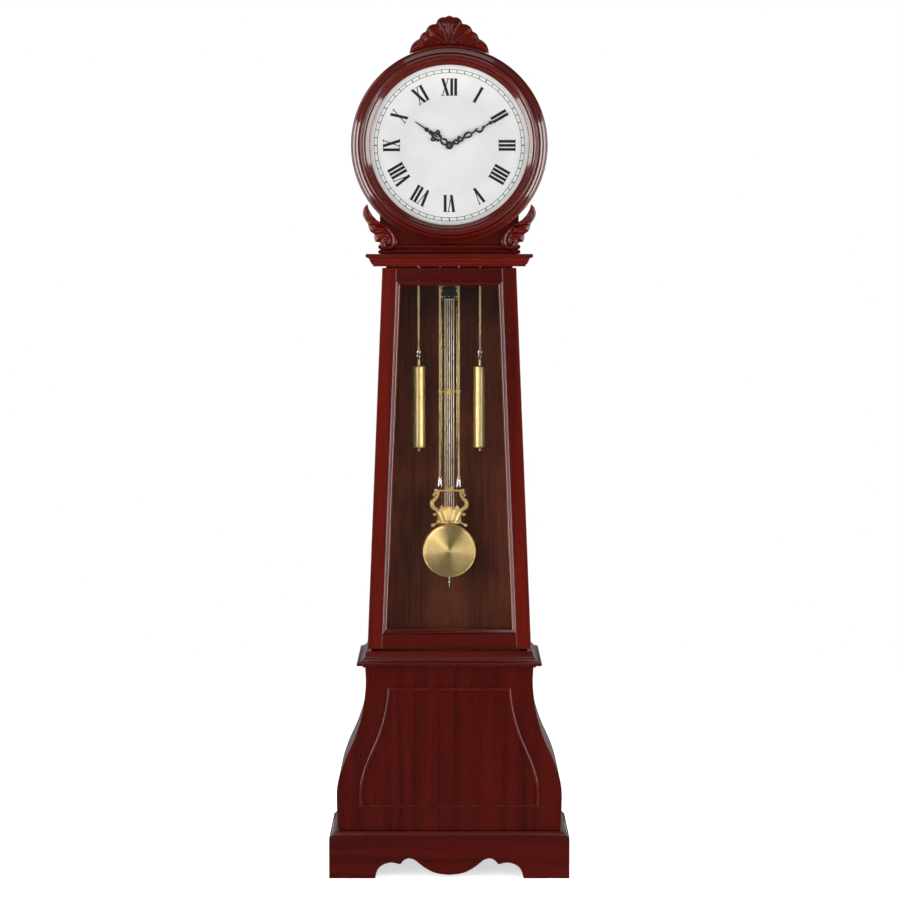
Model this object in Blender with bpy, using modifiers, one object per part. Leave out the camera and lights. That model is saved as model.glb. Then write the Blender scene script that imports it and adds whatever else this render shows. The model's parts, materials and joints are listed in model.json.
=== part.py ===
"""Grandfather clock: a wooden case with a glazed tapered trunk, a round head and a quartz movement.

Metres, +Z up. The origin is at the middle of the bottom, and the front faces -Y.
Run it with blender --background --python part.py, or from Blender's text editor.
"""

import math

import bmesh
import bpy
from mathutils import Matrix, Vector

# ---------------------------------------------------------------- driving dimensions
GAP = 0.0003  # left between two pieces that touch

# Depth positions
PLINTH_FRONT = -0.124
PLINTH_REAR = 0.124
BASE_FRONT = -0.105
DOOR_FRONT = -0.099
CARCASS_FRONT = -0.0765
HEAD_FRONT = -0.0840
HEAD_REAR = 0.0603
CASE_REAR = 0.122
BACK_PANEL = 0.006

# Heights
PLINTH_HEIGHT = 0.0888
BASE_BOTTOM = 0.1003
BASE_TOP = 0.4538
TRUNK_BOTTOM = 0.4880
DOOR_BOTTOM = 0.4927
DOOR_TOP = 1.3050
TRUNK_TOP = 1.3076
CORNICE_TOP = 1.3342
NECK_BASE_TOP = 1.3540
DIAL_CENTRE = 1.5626

# Widths
PLINTH_HALF_WIDTH = 0.2575
NECK_HALF_WIDTH = 0.147
DOOR_TOP_HALF_WIDTH = 0.1418
DOOR_TAPER = 0.04078  # how much wider each half gets for each metre down
CARCASS_INSET = 0.007  # how far the trunk's sides stand inside the door's edges

# Board thicknesses
PLINTH_BOARD = 0.020
BASE_BOARD = 0.018
BASE_SIDE = 0.015
TRUNK_BOARD = 0.015
DOOR_BOARD = 0.020
HEAD_BOARD = 0.015
NECK_BOARD = 0.012

# Door frame
STILE_WIDTH = 0.030
TOP_RAIL_BOTTOM = 1.2773
BOTTOM_RAIL_TOP = 0.5252
BEAD_WIDTH = 0.0106
DOOR_AXIS_INSET = 0.0035
DOOR_AXIS_Y = -0.0755
HINGE_HEIGHTS = {"upper": 1.160, "lower": 0.620}

# Head
BEZEL_RADIUS = 0.2074
BEZEL_REBATE = 0.1745
DRUM_RADIUS = 0.195
DRUM_WALL = 0.010
MOVEMENT_HOLE = 0.112
HATCH_HALF = 0.085
RING_SEGMENTS = 64

# Pendulum
PENDULUM_PIVOT = Vector((0.0, 0.012, 1.290))
ROD_RADIUS = 0.00125
ROD_PLACES = (-0.0165, -0.0094, -0.0047, 0.0, 0.0047, 0.0094, 0.0165)
BOB_CENTRE = 0.6918
BOB_RADIUS = 0.0581

# Weights and chains
CHAIN_PLANE = -0.020
CHAIN_RADIUS = 0.0020
WEIGHT_X = 0.066
WEIGHT_RADIUS = 0.0145
WEIGHT_BOTTOM = 0.9192
WEIGHT_TOP = 1.0937
FREE_CHAIN_X = 0.0202

TRUNK_SLOPE = math.atan(DOOR_TAPER)


# ---------------------------------------------------------------- scene and materials
def clear_scene():
    for obj in list(bpy.data.objects):
        bpy.data.objects.remove(obj, do_unlink=True)


def new_collection(name):
    collection = bpy.data.collections.new(name)
    bpy.context.scene.collection.children.link(collection)
    return collection


def material(name, colour, roughness, metallic=0.0, transmission=0.0):
    made = bpy.data.materials.new(name)
    made.use_nodes = True
    shader = made.node_tree.nodes["Principled BSDF"]
    shader.inputs["Base Color"].default_value = (*colour, 1.0)
    shader.inputs["Roughness"].default_value = roughness
    shader.inputs["Metallic"].default_value = metallic
    shader.inputs["Transmission Weight"].default_value = transmission
    return made


clear_scene()
CLOCK = new_collection("Grandfather clock")
HELPERS = new_collection("Cutters and joined shapes")

WOOD = material("cherry_wood", (0.13, 0.018, 0.010), 0.28)
DARK_WOOD = material("dark_back_panel", (0.045, 0.014, 0.009), 0.60)
BRASS = material("polished_brass", (0.83, 0.62, 0.26), 0.22, metallic=1.0)
STEEL = material("nickel_steel", (0.72, 0.71, 0.69), 0.25, metallic=1.0)
BLACK_METAL = material("black_metal", (0.015, 0.015, 0.015), 0.40)
BLACK_PLASTIC = material("black_plastic", (0.02, 0.02, 0.022), 0.45)
DIAL_WHITE = material("dial_white", (0.86, 0.86, 0.84), 0.55)
CLEAR_GLASS = material("clear_glass", (1.0, 1.0, 1.0), 0.02, transmission=1.0)
BATTERY_WRAP = material("battery_wrap", (0.10, 0.12, 0.16), 0.35)


# ---------------------------------------------------------------- shape helpers
def finish(obj, made_of):
    """Puts a new piece in the clock's collection, with its material."""
    for collection in list(obj.users_collection):
        collection.objects.unlink(obj)
    CLOCK.objects.link(obj)
    obj.data.materials.clear()
    obj.data.materials.append(made_of)
    return obj


def hide_helper(obj):
    """Turns an object into a cutter or a joined shape, which isn't a piece of its own."""
    for collection in list(obj.users_collection):
        collection.objects.unlink(obj)
    HELPERS.objects.link(obj)
    obj.hide_render = True
    obj.display_type = "WIRE"
    return obj


def mesh_object(name, shape):
    mesh = bpy.data.meshes.new(name)
    shape.to_mesh(mesh)
    shape.free()
    obj = bpy.data.objects.new(name, mesh)
    CLOCK.objects.link(obj)
    return obj


def box(name, low, high, made_of=WOOD):
    """A block between two corners."""
    low = Vector(low)
    high = Vector(high)
    shape = bmesh.new()
    bmesh.ops.create_cube(shape, size=1.0)
    bmesh.ops.scale(shape, vec=high - low, verts=shape.verts)
    obj = mesh_object(name, shape)
    obj.location = (low + high) / 2
    return finish(obj, made_of)


def cylinder(name, radius, start, end, made_of=WOOD, segments=16):
    """A straight round bar between two points."""
    start = Vector(start)
    end = Vector(end)
    shape = bmesh.new()
    bmesh.ops.create_cone(
        shape, cap_ends=True, segments=segments, radius1=radius, radius2=radius, depth=(end - start).length
    )
    obj = mesh_object(name, shape)
    obj.rotation_euler = (end - start).to_track_quat("Z", "Y").to_euler()
    obj.location = (start + end) / 2
    obj.data.shade_smooth()
    obj.data.set_sharp_from_angle(angle=math.radians(40))
    return finish(obj, made_of)


def turned(name, profile, made_of, centre, facing="front", steps=RING_SEGMENTS):
    """A turned piece: (radius, place along the axis) points, in order down the outer side.

    facing "front" puts the axis along Y, and the places are Y values, front to back.
    facing "up" puts it along Z, and the places are Z values, top to bottom.
    """
    sign = -1.0 if facing == "front" else 1.0
    mesh = bpy.data.meshes.new(name)
    points = [(radius, 0.0, sign * place) for radius, place in profile]
    loop_is_closed = profile[0] != profile[-1] and profile[0][0] > 0
    edges = [(i, i + 1) for i in range(len(points) - 1)]
    if loop_is_closed:
        edges.append((len(points) - 1, 0))
    mesh.from_pydata(points, edges, [])
    obj = bpy.data.objects.new(name, mesh)
    CLOCK.objects.link(obj)
    obj.location = centre
    if facing == "front":
        obj.rotation_euler = (math.radians(90), 0, 0)
    screw = obj.modifiers.new("Turn", "SCREW")
    screw.axis = "Z"
    screw.steps = steps
    screw.render_steps = steps
    screw.use_merge_vertices = True
    screw.merge_threshold = 0.0001
    screw.use_smooth_shade = True
    return finish(obj, made_of)


def flat_board(name, outline, y_front, y_back, made_of=WOOD, holes=()):
    """A board cut to an outline of (x, z) points, with holes right through it."""
    curve = bpy.data.curves.new(name, "CURVE")
    curve.dimensions = "2D"
    curve.fill_mode = "BOTH"
    curve.extrude = (y_back - y_front) / 2
    for loop in (outline, *holes):
        spline = curve.splines.new("POLY")
        spline.points.add(len(loop) - 1)
        for point, (x, z) in zip(spline.points, loop):
            point.co = (x, z, 0.0, 1.0)
        spline.use_cyclic_u = True
    obj = bpy.data.objects.new(name, curve)
    CLOCK.objects.link(obj)
    obj.rotation_euler = (math.radians(90), 0, 0)
    obj.location = (0, (y_front + y_back) / 2, 0)
    return finish(obj, made_of)


def as_mesh(obj):
    """Swaps a curve object for a mesh of the same shape, with its caps welded on."""
    bpy.context.view_layer.update()
    graph = bpy.context.evaluated_depsgraph_get()
    mesh = bpy.data.meshes.new_from_object(obj.evaluated_get(graph))
    shape = bmesh.new()
    shape.from_mesh(mesh)
    bmesh.ops.remove_doubles(shape, verts=shape.verts, dist=0.00001)
    bmesh.ops.recalc_face_normals(shape, faces=shape.faces)
    shape.to_mesh(mesh)
    shape.free()
    name = obj.name
    made_of = obj.data.materials[0]
    place = obj.matrix_world.copy()
    bpy.data.objects.remove(obj, do_unlink=True)
    solid = bpy.data.objects.new(name, mesh)
    solid.matrix_world = place
    CLOCK.objects.link(solid)
    return finish(solid, made_of)


def boolean(target, other, operation):
    modifier = target.modifiers.new(other.name, "BOOLEAN")
    modifier.operation = operation
    modifier.object = hide_helper(other)
    return target


def join(target, *others):
    for other in others:
        boolean(target, other, "UNION")
    return target


def cut(target, *others):
    for other in others:
        boolean(target, other, "DIFFERENCE")
    return target


def moulded_board(name, levels, half_width, y_front, y_rear):
    """A board whose front and side edges are moulded: (height, how far it stands out) levels."""
    shape = bmesh.new()
    rings = []
    for height, out in levels:
        corners = (
            (-half_width - out, y_front - out),
            (half_width + out, y_front - out),
            (half_width + out, y_rear),
            (-half_width - out, y_rear),
        )
        rings.append([shape.verts.new((x, y, height)) for x, y in corners])
    for lower, upper in zip(rings, rings[1:]):
        for i in range(4):
            j = (i + 1) % 4
            shape.faces.new((lower[i], lower[j], upper[j], upper[i]))
    shape.faces.new(rings[0][::-1])
    shape.faces.new(rings[-1])
    return finish(mesh_object(name, shape), WOOD)


def axis_empty(name, place, tilt=0.0):
    """An empty on a joint's axis, which the moving pieces are parented to."""
    empty = bpy.data.objects.new(name, None)
    empty.empty_display_size = 0.02
    empty.location = place
    empty.rotation_euler = (0, tilt, 0)
    CLOCK.objects.link(empty)
    return empty


def hang_on(empty, *pieces):
    """Parents pieces to an empty, and leaves them where they are."""
    bpy.context.view_layer.update()
    for piece in pieces:
        piece.parent = empty
        piece.matrix_parent_inverse = empty.matrix_world.inverted()


# ---------------------------------------------------------------- outline helpers
def smooth_line(points, steps):
    """Points on a smooth curve that runs through the given ones."""
    padded = [points[0], *points, points[-1]]
    line = []
    for a, b, c, d in zip(padded, padded[1:], padded[2:], padded[3:]):
        for step in range(steps):
            t = step / steps
            point = []
            for p, q, r, s in zip(a, b, c, d):
                bend = 2 * p - 5 * q + 4 * r - s
                twist = 3 * q - p - 3 * r + s
                point.append(0.5 * (2 * q + (r - p) * t + bend * t**2 + twist * t**3))
            line.append(tuple(point))
    line.append(points[-1])
    return line


def mirrored(points):
    """The same points on the other side of the middle, in the opposite order."""
    return [(-x, z) for x, z in reversed(points)]


def circle(radius, centre_x, centre_z, segments):
    angles = [2 * math.pi * i / segments for i in range(segments)]
    return [(centre_x + radius * math.cos(a), centre_z + radius * math.sin(a)) for a in angles]


def arc(radius, centre_x, centre_z, start_deg, end_deg, segments):
    span = end_deg - start_deg
    angles = [math.radians(start_deg + span * i / segments) for i in range(segments + 1)]
    return [(centre_x + radius * math.cos(a), centre_z + radius * math.sin(a)) for a in angles]


def bulge(start, end, height, segments):
    """Points between two places on an arc that stands out to the left of the line between them."""
    start = Vector(start)
    end = Vector(end)
    along = end - start
    out = Vector((-along.y, along.x)).normalized()
    places = []
    for i in range(1, segments):
        t = i / segments
        place = start + along * t + out * height * 4 * t * (1 - t)
        places.append((place.x, place.y))
    return places


def door_half_width(z):
    return DOOR_TOP_HALF_WIDTH + DOOR_TAPER * (DOOR_TOP - z)


def trapezium(bottom, top, inset):
    """A tapered outline, inset from the door's side edges."""
    low = door_half_width(bottom) - inset
    high = door_half_width(top) - inset
    return [(-low, bottom), (low, bottom), (high, top), (-high, top)]


# The base bulges towards its foot: half-widths at heights, from the top down.
BASE_SIDE_POINTS = [
    (0.1800, BASE_TOP),
    (0.1788, 0.4150),
    (0.1857, 0.3600),
    (0.2015, 0.3050),
    (0.2255, 0.2500),
    (0.2390, 0.2050),
    (0.2417, 0.1650),
    (0.2385, BASE_BOTTOM),
]
BASE_SIDE_LINE = smooth_line(BASE_SIDE_POINTS, 4)


def base_half_width(z):
    for (x1, z1), (x2, z2) in zip(BASE_SIDE_LINE, BASE_SIDE_LINE[1:]):
        if z2 <= z <= z1:
            return x1 + (x2 - x1) * (z1 - z) / (z1 - z2)
    return BASE_SIDE_LINE[-1][0]


# ---------------------------------------------------------------- plinth
def make_plinth():
    # Half of the shaped cut-out, from the foot's inner edge to the middle.
    apron_outer_lobe = smooth_line(
        [(0.159, 0.0), (0.154, 0.018), (0.143, 0.029), (0.125, 0.0345), (0.105, 0.0305)], 3
    )
    apron_inner_lobe = smooth_line([(0.105, 0.0305), (0.0965, 0.040), (0.085, 0.0436), (0.073, 0.0395)], 3)
    apron_drop = smooth_line([(0.073, 0.0395), (0.052, 0.0229), (0.029, 0.0115), (0.0, 0.0076)], 3)
    half_apron = apron_outer_lobe[:-1] + apron_inner_lobe[:-1] + apron_drop
    apron = half_apron[:-1] + mirrored(half_apron)
    corners = [(-PLINTH_HALF_WIDTH, 0.0), (-PLINTH_HALF_WIDTH, PLINTH_HEIGHT)]
    corners += [(PLINTH_HALF_WIDTH, PLINTH_HEIGHT), (PLINTH_HALF_WIDTH, 0.0)]
    flat_board("plinth_front", corners + apron, PLINTH_FRONT, PLINTH_FRONT + PLINTH_BOARD)

    side_front = PLINTH_FRONT + PLINTH_BOARD + GAP
    inner = PLINTH_HALF_WIDTH - PLINTH_BOARD
    for side, sign in (("left", -1), ("right", 1)):
        low_x, high_x = sorted((sign * inner, sign * PLINTH_HALF_WIDTH))
        box(f"plinth_side_{side}", (low_x, side_front, 0), (high_x, PLINTH_REAR, PLINTH_HEIGHT))
    rail_half = inner - GAP
    rail_bottom = 0.020
    box(
        "plinth_rear_rail",
        (-rail_half, PLINTH_REAR - PLINTH_BOARD, rail_bottom),
        (rail_half, PLINTH_REAR, PLINTH_HEIGHT),
    )
    # (height, how far it stands out): a cove that steps in under the base.
    levels = [
        (PLINTH_HEIGHT + GAP, 0.0105),
        (0.0915, 0.0105),
        (0.0935, 0.0065),
        (0.0962, 0.0035),
        (0.0985, 0.0020),
        (BASE_BOTTOM - GAP, 0.0020),
    ]
    moulded_board("plinth_top_board", levels, 0.2430, -0.1100, CASE_REAR)


# ---------------------------------------------------------------- base
def panel_bead_outline(inset):
    """The line of the raised bead on the base's front, inset from its outer edge."""
    top = 0.4102 - inset
    bottom = 0.1503 + inset
    from_side = 0.048 + inset
    rows = 10
    heights = [top + (bottom - top) * i / rows for i in range(rows + 1)]
    right = [(base_half_width(z) - from_side, z) for z in heights]
    return right + mirrored(right)


def make_base():
    right = BASE_SIDE_LINE
    outline = right + mirrored(right)
    flat_board("base_front_panel", outline, BASE_FRONT, BASE_FRONT + BASE_BOARD)
    back_front = CASE_REAR - BACK_PANEL
    flat_board("base_back_panel", outline, back_front, CASE_REAR, DARK_WOOD)

    inner = [(x - BASE_SIDE, z) for x, z in reversed(right)]
    side_front = BASE_FRONT + BASE_BOARD + GAP
    flat_board("base_side_right", right + inner, side_front, back_front - GAP)
    flat_board("base_side_left", mirrored(right + inner), side_front, back_front - GAP)

    # The bead is a picture-frame strip on the front panel, thinner at its edges than in its middle.
    bead_back = BASE_FRONT - GAP
    bead = flat_board(
        "base_panel_bead", panel_bead_outline(0.0), bead_back - 0.0018, bead_back,
        holes=[panel_bead_outline(0.0070)],
    )
    crown = flat_board(
        "bead_crown", panel_bead_outline(0.0018), bead_back - 0.0032, bead_back - 0.0010,
        holes=[panel_bead_outline(0.0052)],
    )
    join(as_mesh(bead), as_mesh(crown))

    # (height, how far it stands out): a round nose, then a cove and a small bead up to the trunk.
    levels = [
        (BASE_TOP + GAP, 0.0050),
        (0.4582, 0.0050),
        (0.4592, 0.0155),
        (0.4608, 0.0175),
        (0.4640, 0.0175),
        (0.4658, 0.0150),
        (0.4668, 0.0100),
        (0.4700, 0.0050),
        (0.4745, 0.0020),
        (0.4760, 0.0000),
        (0.4800, -0.0015),
        (TRUNK_BOTTOM - GAP, -0.0030),
    ]
    moulded_board("waist_board", levels, 0.1800, BASE_FRONT, CASE_REAR)


# ---------------------------------------------------------------- trunk
def make_trunk():
    outer_low = door_half_width(TRUNK_BOTTOM) - CARCASS_INSET
    outer_high = door_half_width(TRUNK_TOP) - CARCASS_INSET
    side = [
        (outer_low - TRUNK_BOARD, TRUNK_BOTTOM),
        (outer_low, TRUNK_BOTTOM),
        (outer_high, TRUNK_TOP),
        (outer_high - TRUNK_BOARD, TRUNK_TOP),
    ]
    back_front = CASE_REAR - BACK_PANEL
    flat_board("trunk_side_right", side, CARCASS_FRONT, back_front - GAP)
    flat_board("trunk_side_left", mirrored(side), CARCASS_FRONT, back_front - GAP)
    back = trapezium(TRUNK_BOTTOM, TRUNK_TOP, CARCASS_INSET)
    flat_board("trunk_back_panel", back, back_front, CASE_REAR, DARK_WOOD)

    # (height, how far it stands out): a fillet, an ogee and a square nose.
    levels = [
        (TRUNK_TOP + GAP, 0.0000),
        (1.3115, 0.0000),
        (1.3125, 0.0020),
        (1.3170, 0.0038),
        (1.3180, 0.0062),
        (1.3195, 0.0066),
        (1.3225, 0.0080),
        (1.3262, 0.0118),
        (1.3268, 0.0150),
        (1.3330, 0.0150),
        (CORNICE_TOP, 0.0140),
    ]
    moulded_board("cornice_board", levels, 0.1610, -0.1085, CASE_REAR)


# ---------------------------------------------------------------- door
def make_door():
    back = DOOR_FRONT + DOOR_BOARD
    bottom = door_half_width(DOOR_BOTTOM)
    top = door_half_width(DOOR_TOP)
    stile = [
        (bottom - STILE_WIDTH, DOOR_BOTTOM),
        (bottom, DOOR_BOTTOM),
        (top, DOOR_TOP),
        (top - STILE_WIDTH, DOOR_TOP),
    ]
    between = STILE_WIDTH + GAP
    pieces = [
        flat_board("door_stile_right", stile, DOOR_FRONT, back),
        flat_board("door_stile_left", mirrored(stile), DOOR_FRONT, back),
        flat_board("door_rail_top", trapezium(TOP_RAIL_BOTTOM, DOOR_TOP, between), DOOR_FRONT, back),
        flat_board("door_rail_bottom", trapezium(DOOR_BOTTOM, BOTTOM_RAIL_TOP, between), DOOR_FRONT, back),
    ]

    # The bead slopes from the front of the frame down to the glass.
    bead_outer = trapezium(BOTTOM_RAIL_TOP + GAP, TOP_RAIL_BOTTOM - GAP, STILE_WIDTH + GAP)
    steps = ((0.0, 0.0040, -0.0020), (0.0034, 0.0075, 0.0030), (0.0069, BEAD_WIDTH, 0.0080))
    bead_back = DOOR_FRONT + 0.0145
    rings = []
    for start, end, drop in steps:
        outer = trapezium(BOTTOM_RAIL_TOP + GAP + start, TOP_RAIL_BOTTOM - GAP - start, between + start)
        inner = trapezium(BOTTOM_RAIL_TOP + GAP + end, TOP_RAIL_BOTTOM - GAP - end, between + end)
        name = "door_bead" if start == 0.0 else f"bead_step_{len(rings)}"
        rings.append(as_mesh(flat_board(name, outer, DOOR_FRONT + drop, bead_back, holes=[inner])))
    pieces.append(join(rings[0], *rings[1:]))

    glass_edge = 0.0010
    glass = trapezium(BOTTOM_RAIL_TOP + glass_edge, TOP_RAIL_BOTTOM - glass_edge, STILE_WIDTH + glass_edge)
    glass_front = bead_back + GAP
    pieces.append(flat_board("door_glass", glass, glass_front, glass_front + 0.0030, CLEAR_GLASS))

    # A magnetic catch at half height on the side away from the hinges.
    catch_z = 0.900
    catch_x = door_half_width(catch_z) - CARCASS_INSET - TRUNK_BOARD
    box(
        "door_magnet",
        (-catch_x + 0.0012, CARCASS_FRONT, catch_z - 0.020),
        (-catch_x + 0.0092, CARCASS_FRONT + 0.012, catch_z + 0.020),
        BLACK_PLASTIC,
    )
    plate = box(
        "door_strike_plate",
        (-catch_x - 0.0025, back + GAP, catch_z - 0.016),
        (-catch_x + 0.0075, back + GAP + 0.0012, catch_z + 0.016),
        STEEL,
    )
    pieces.append(plate)

    axis_x = door_half_width(1.0) - DOOR_AXIS_INSET
    axis = axis_empty("door_hinge_axis", (axis_x, DOOR_AXIS_Y, 1.0), -TRUNK_SLOPE)
    for level, height in HINGE_HEIGHTS.items():
        place = Vector((door_half_width(height) - DOOR_AXIS_INSET, DOOR_AXIS_Y, height))
        frame = Matrix.Translation(place) @ Matrix.Rotation(-TRUNK_SLOPE, 4, "Y")
        sizes = {"length": 0.050, "barrel": 0.0030, "pin": 0.0012, "plate": 0.0015, "width": 0.020}
        hinge_leaf(f"door_hinge_{level}_case_leaf", frame, sizes, side=-1, turn_deg=-90, holds_pin=True)
        leaf = hinge_leaf(f"door_hinge_{level}_door_leaf", frame, sizes, side=-1, turn_deg=0, holds_pin=False)
        pieces.append(leaf)
    hang_on(axis, *pieces)


def hinge_leaf(name, frame, sizes, side, turn_deg, holds_pin):
    """One leaf of a butt hinge about its frame's Z axis.

    The leaf's plate lies towards +X (side 1) or -X (side -1), tangent to the barrel's -Y side.
    The leaf that holds the pin has the two end knuckles, and the other has the middle one.
    """
    half = sizes["length"] / 2
    barrel = sizes["barrel"]
    middle = sizes["length"] * 0.21
    clear = barrel + 0.0006
    reach = sizes["width"]
    root = 0.0005
    if holds_pin:
        edge = [
            (root, -half),
            (root, -middle - GAP / 2),
            (clear, -middle - GAP / 2),
            (clear, middle + GAP / 2),
            (root, middle + GAP / 2),
            (root, half),
        ]
        knuckles = [(-half, -middle - GAP / 2), (middle + GAP / 2, half)]
    else:
        edge = [
            (clear, -half),
            (clear, -middle + GAP / 2),
            (root, -middle + GAP / 2),
            (root, middle - GAP / 2),
            (clear, middle - GAP / 2),
            (clear, half),
        ]
        knuckles = [(-middle + GAP / 2, middle - GAP / 2)]
    outline = [(side * x, z) for x, z in [*edge, (reach, half), (reach, -half)]]
    plate_front = -barrel - 0.0002
    leaf = as_mesh(flat_board(name, outline, plate_front, plate_front + sizes["plate"], STEEL))
    parts = [leaf]
    for i, (low, high) in enumerate(knuckles):
        parts.append(cylinder(f"{name}_knuckle_{i}", barrel, (0, 0, low), (0, 0, high), STEEL))
    if holds_pin:
        pin_half = half - 0.001
        parts.append(cylinder(f"{name}_pin", sizes["pin"], (0, 0, -pin_half), (0, 0, pin_half), STEEL))
    bore = None
    if not holds_pin:
        bore = cylinder(f"{name}_bore", sizes["pin"] + 0.0001, (0, 0, -half), (0, 0, half), STEEL)
    turn = frame @ Matrix.Rotation(math.radians(turn_deg), 4, "Z")
    bpy.context.view_layer.update()
    for part in (*parts, *([bore] if bore else [])):
        part.matrix_world = turn @ part.matrix_world
    join(leaf, *parts[1:])
    if bore:
        cut(leaf, bore)
    return leaf


# ---------------------------------------------------------------- head
def make_neck_and_drum():
    # (height, how far it stands out): two small beads round the foot of the neck.
    levels = [
        (CORNICE_TOP + GAP, 0.0000),
        (1.3365, 0.0035),
        (1.3400, 0.0035),
        (1.3425, 0.0000),
        (1.3450, 0.0000),
        (1.3475, 0.0035),
        (1.3510, 0.0035),
        (NECK_BASE_TOP, 0.0000),
    ]
    moulded_board("neck_base_board", levels, NECK_HALF_WIDTH, HEAD_FRONT - 0.0005, HEAD_REAR)

    # One board makes the neck's front and the round face behind the dial.
    neck_low = NECK_BASE_TOP + GAP
    meet_z = DIAL_CENTRE - math.sqrt(DRUM_RADIUS**2 - NECK_HALF_WIDTH**2)
    meet_deg = math.degrees(math.atan2(meet_z - DIAL_CENTRE, NECK_HALF_WIDTH))
    keyhole = [(-NECK_HALF_WIDTH, neck_low), (NECK_HALF_WIDTH, neck_low)]
    keyhole += arc(DRUM_RADIUS, 0, DIAL_CENTRE, meet_deg, 180 - meet_deg, 44)
    hole = circle(MOVEMENT_HOLE, 0, DIAL_CENTRE, 32)
    board_back = HEAD_FRONT + HEAD_BOARD
    flat_board("head_front_board", keyhole, HEAD_FRONT, board_back, holes=[hole])

    # The head's back has a square opening, which the hatch closes.
    back_front = HEAD_REAR - BACK_PANEL
    opening = [
        (-HATCH_HALF, DIAL_CENTRE - HATCH_HALF),
        (-HATCH_HALF, DIAL_CENTRE + HATCH_HALF),
        (HATCH_HALF, DIAL_CENTRE + HATCH_HALF),
        (HATCH_HALF, DIAL_CENTRE - HATCH_HALF),
    ]
    flat_board("head_back_board", keyhole, back_front, HEAD_REAR, DARK_WOOD, holes=[opening])

    side_front = board_back + GAP
    side_back = back_front - GAP
    clear_radius = DRUM_RADIUS + 0.0008
    side = []
    for x in (NECK_HALF_WIDTH - NECK_BOARD, NECK_HALF_WIDTH):
        side.append((x, DIAL_CENTRE - math.sqrt(clear_radius**2 - x**2)))
    side = [(NECK_HALF_WIDTH - NECK_BOARD, neck_low), (NECK_HALF_WIDTH, neck_low), side[1], side[0]]
    flat_board("neck_side_right", side, side_front, side_back)
    flat_board("neck_side_left", mirrored(side), side_front, side_back)

    shell = [
        (DRUM_RADIUS, side_front),
        (DRUM_RADIUS, side_back),
        (DRUM_RADIUS - DRUM_WALL, side_back),
        (DRUM_RADIUS - DRUM_WALL, side_front),
    ]
    turned("drum_shell", shell, WOOD, (0, 0, DIAL_CENTRE), steps=56)


def make_hatch():
    clear = 0.0010
    back_front = HEAD_REAR - BACK_PANEL
    half = HATCH_HALF - clear
    hatch = box(
        "head_back_hatch",
        (-half, back_front, DIAL_CENTRE - half),
        (half, HEAD_REAR, DIAL_CENTRE + half),
        DARK_WOOD,
    )
    knob_profile = [
        (0.0, HEAD_REAR + GAP),
        (0.0060, HEAD_REAR + GAP),
        (0.0038, HEAD_REAR + 0.0018),
        (0.0038, 0.0670),
        (0.0070, 0.0695),
        (0.0070, 0.0722),
        (0.0050, 0.0740),
        (0.0, 0.0740),
    ]
    knob = turned("hatch_knob", knob_profile, BRASS, (0.070, 0, DIAL_CENTRE), steps=20)

    barrel = 0.0020
    place = Vector((-HATCH_HALF + clear / 2, HEAD_REAR + barrel + 0.0005, DIAL_CENTRE))
    frame = Matrix.Translation(place)
    sizes = {"length": 0.060, "barrel": barrel, "pin": 0.0008, "plate": 0.0010, "width": 0.018}
    hinge_leaf("hatch_hinge_fixed_leaf", frame, sizes, side=-1, turn_deg=0, holds_pin=True)
    leaf = hinge_leaf("hatch_hinge_moving_leaf", frame, sizes, side=1, turn_deg=0, holds_pin=False)
    axis = axis_empty("hatch_hinge_axis", place)
    hang_on(axis, hatch, knob, leaf)


def make_bezel():
    back = HEAD_FRONT - GAP
    # Down the outer side, along the back and the glass's rebate, then out over the front: the inner lip, a
    # bead, a large round, a bead, a cove and an edge bead.
    ring = [
        (BEZEL_RADIUS, -0.0930),
        (BEZEL_RADIUS, back),
        (0.1745, back),
        (BEZEL_REBATE, -0.0965),
        (0.1675, -0.0965),
        (0.1675, -0.1000),
        (0.1722, -0.1085),
        (0.1750, -0.1105),
        (0.1767, -0.1085),
        (0.1785, -0.1120),
        (0.1835, -0.1180),
        (0.1880, -0.1160),
        (0.1902, -0.1095),
        (0.1932, -0.1105),
        (0.1960, -0.1070),
        (0.1978, -0.1010),
        (0.2015, -0.0965),
        (0.2050, -0.0955),
    ]
    turned("bezel_ring", ring, WOOD, (0, 0, DIAL_CENTRE))

    glass_edge = BEZEL_REBATE - 0.0006
    glass = [(0.0, -0.0962), (glass_edge, -0.0962), (glass_edge, -0.0937), (0.0, -0.0937)]
    turned("dial_glass", glass, CLEAR_GLASS, (0, 0, DIAL_CENTRE), steps=48)
    edge = circle(BEZEL_REBATE - 0.0008, 0, DIAL_CENTRE, 48)
    hole = circle(0.0050, 0, DIAL_CENTRE, 16)
    flat_board("dial_plate", edge, -0.0863, -0.0843, DIAL_WHITE, holes=[hole])


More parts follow.
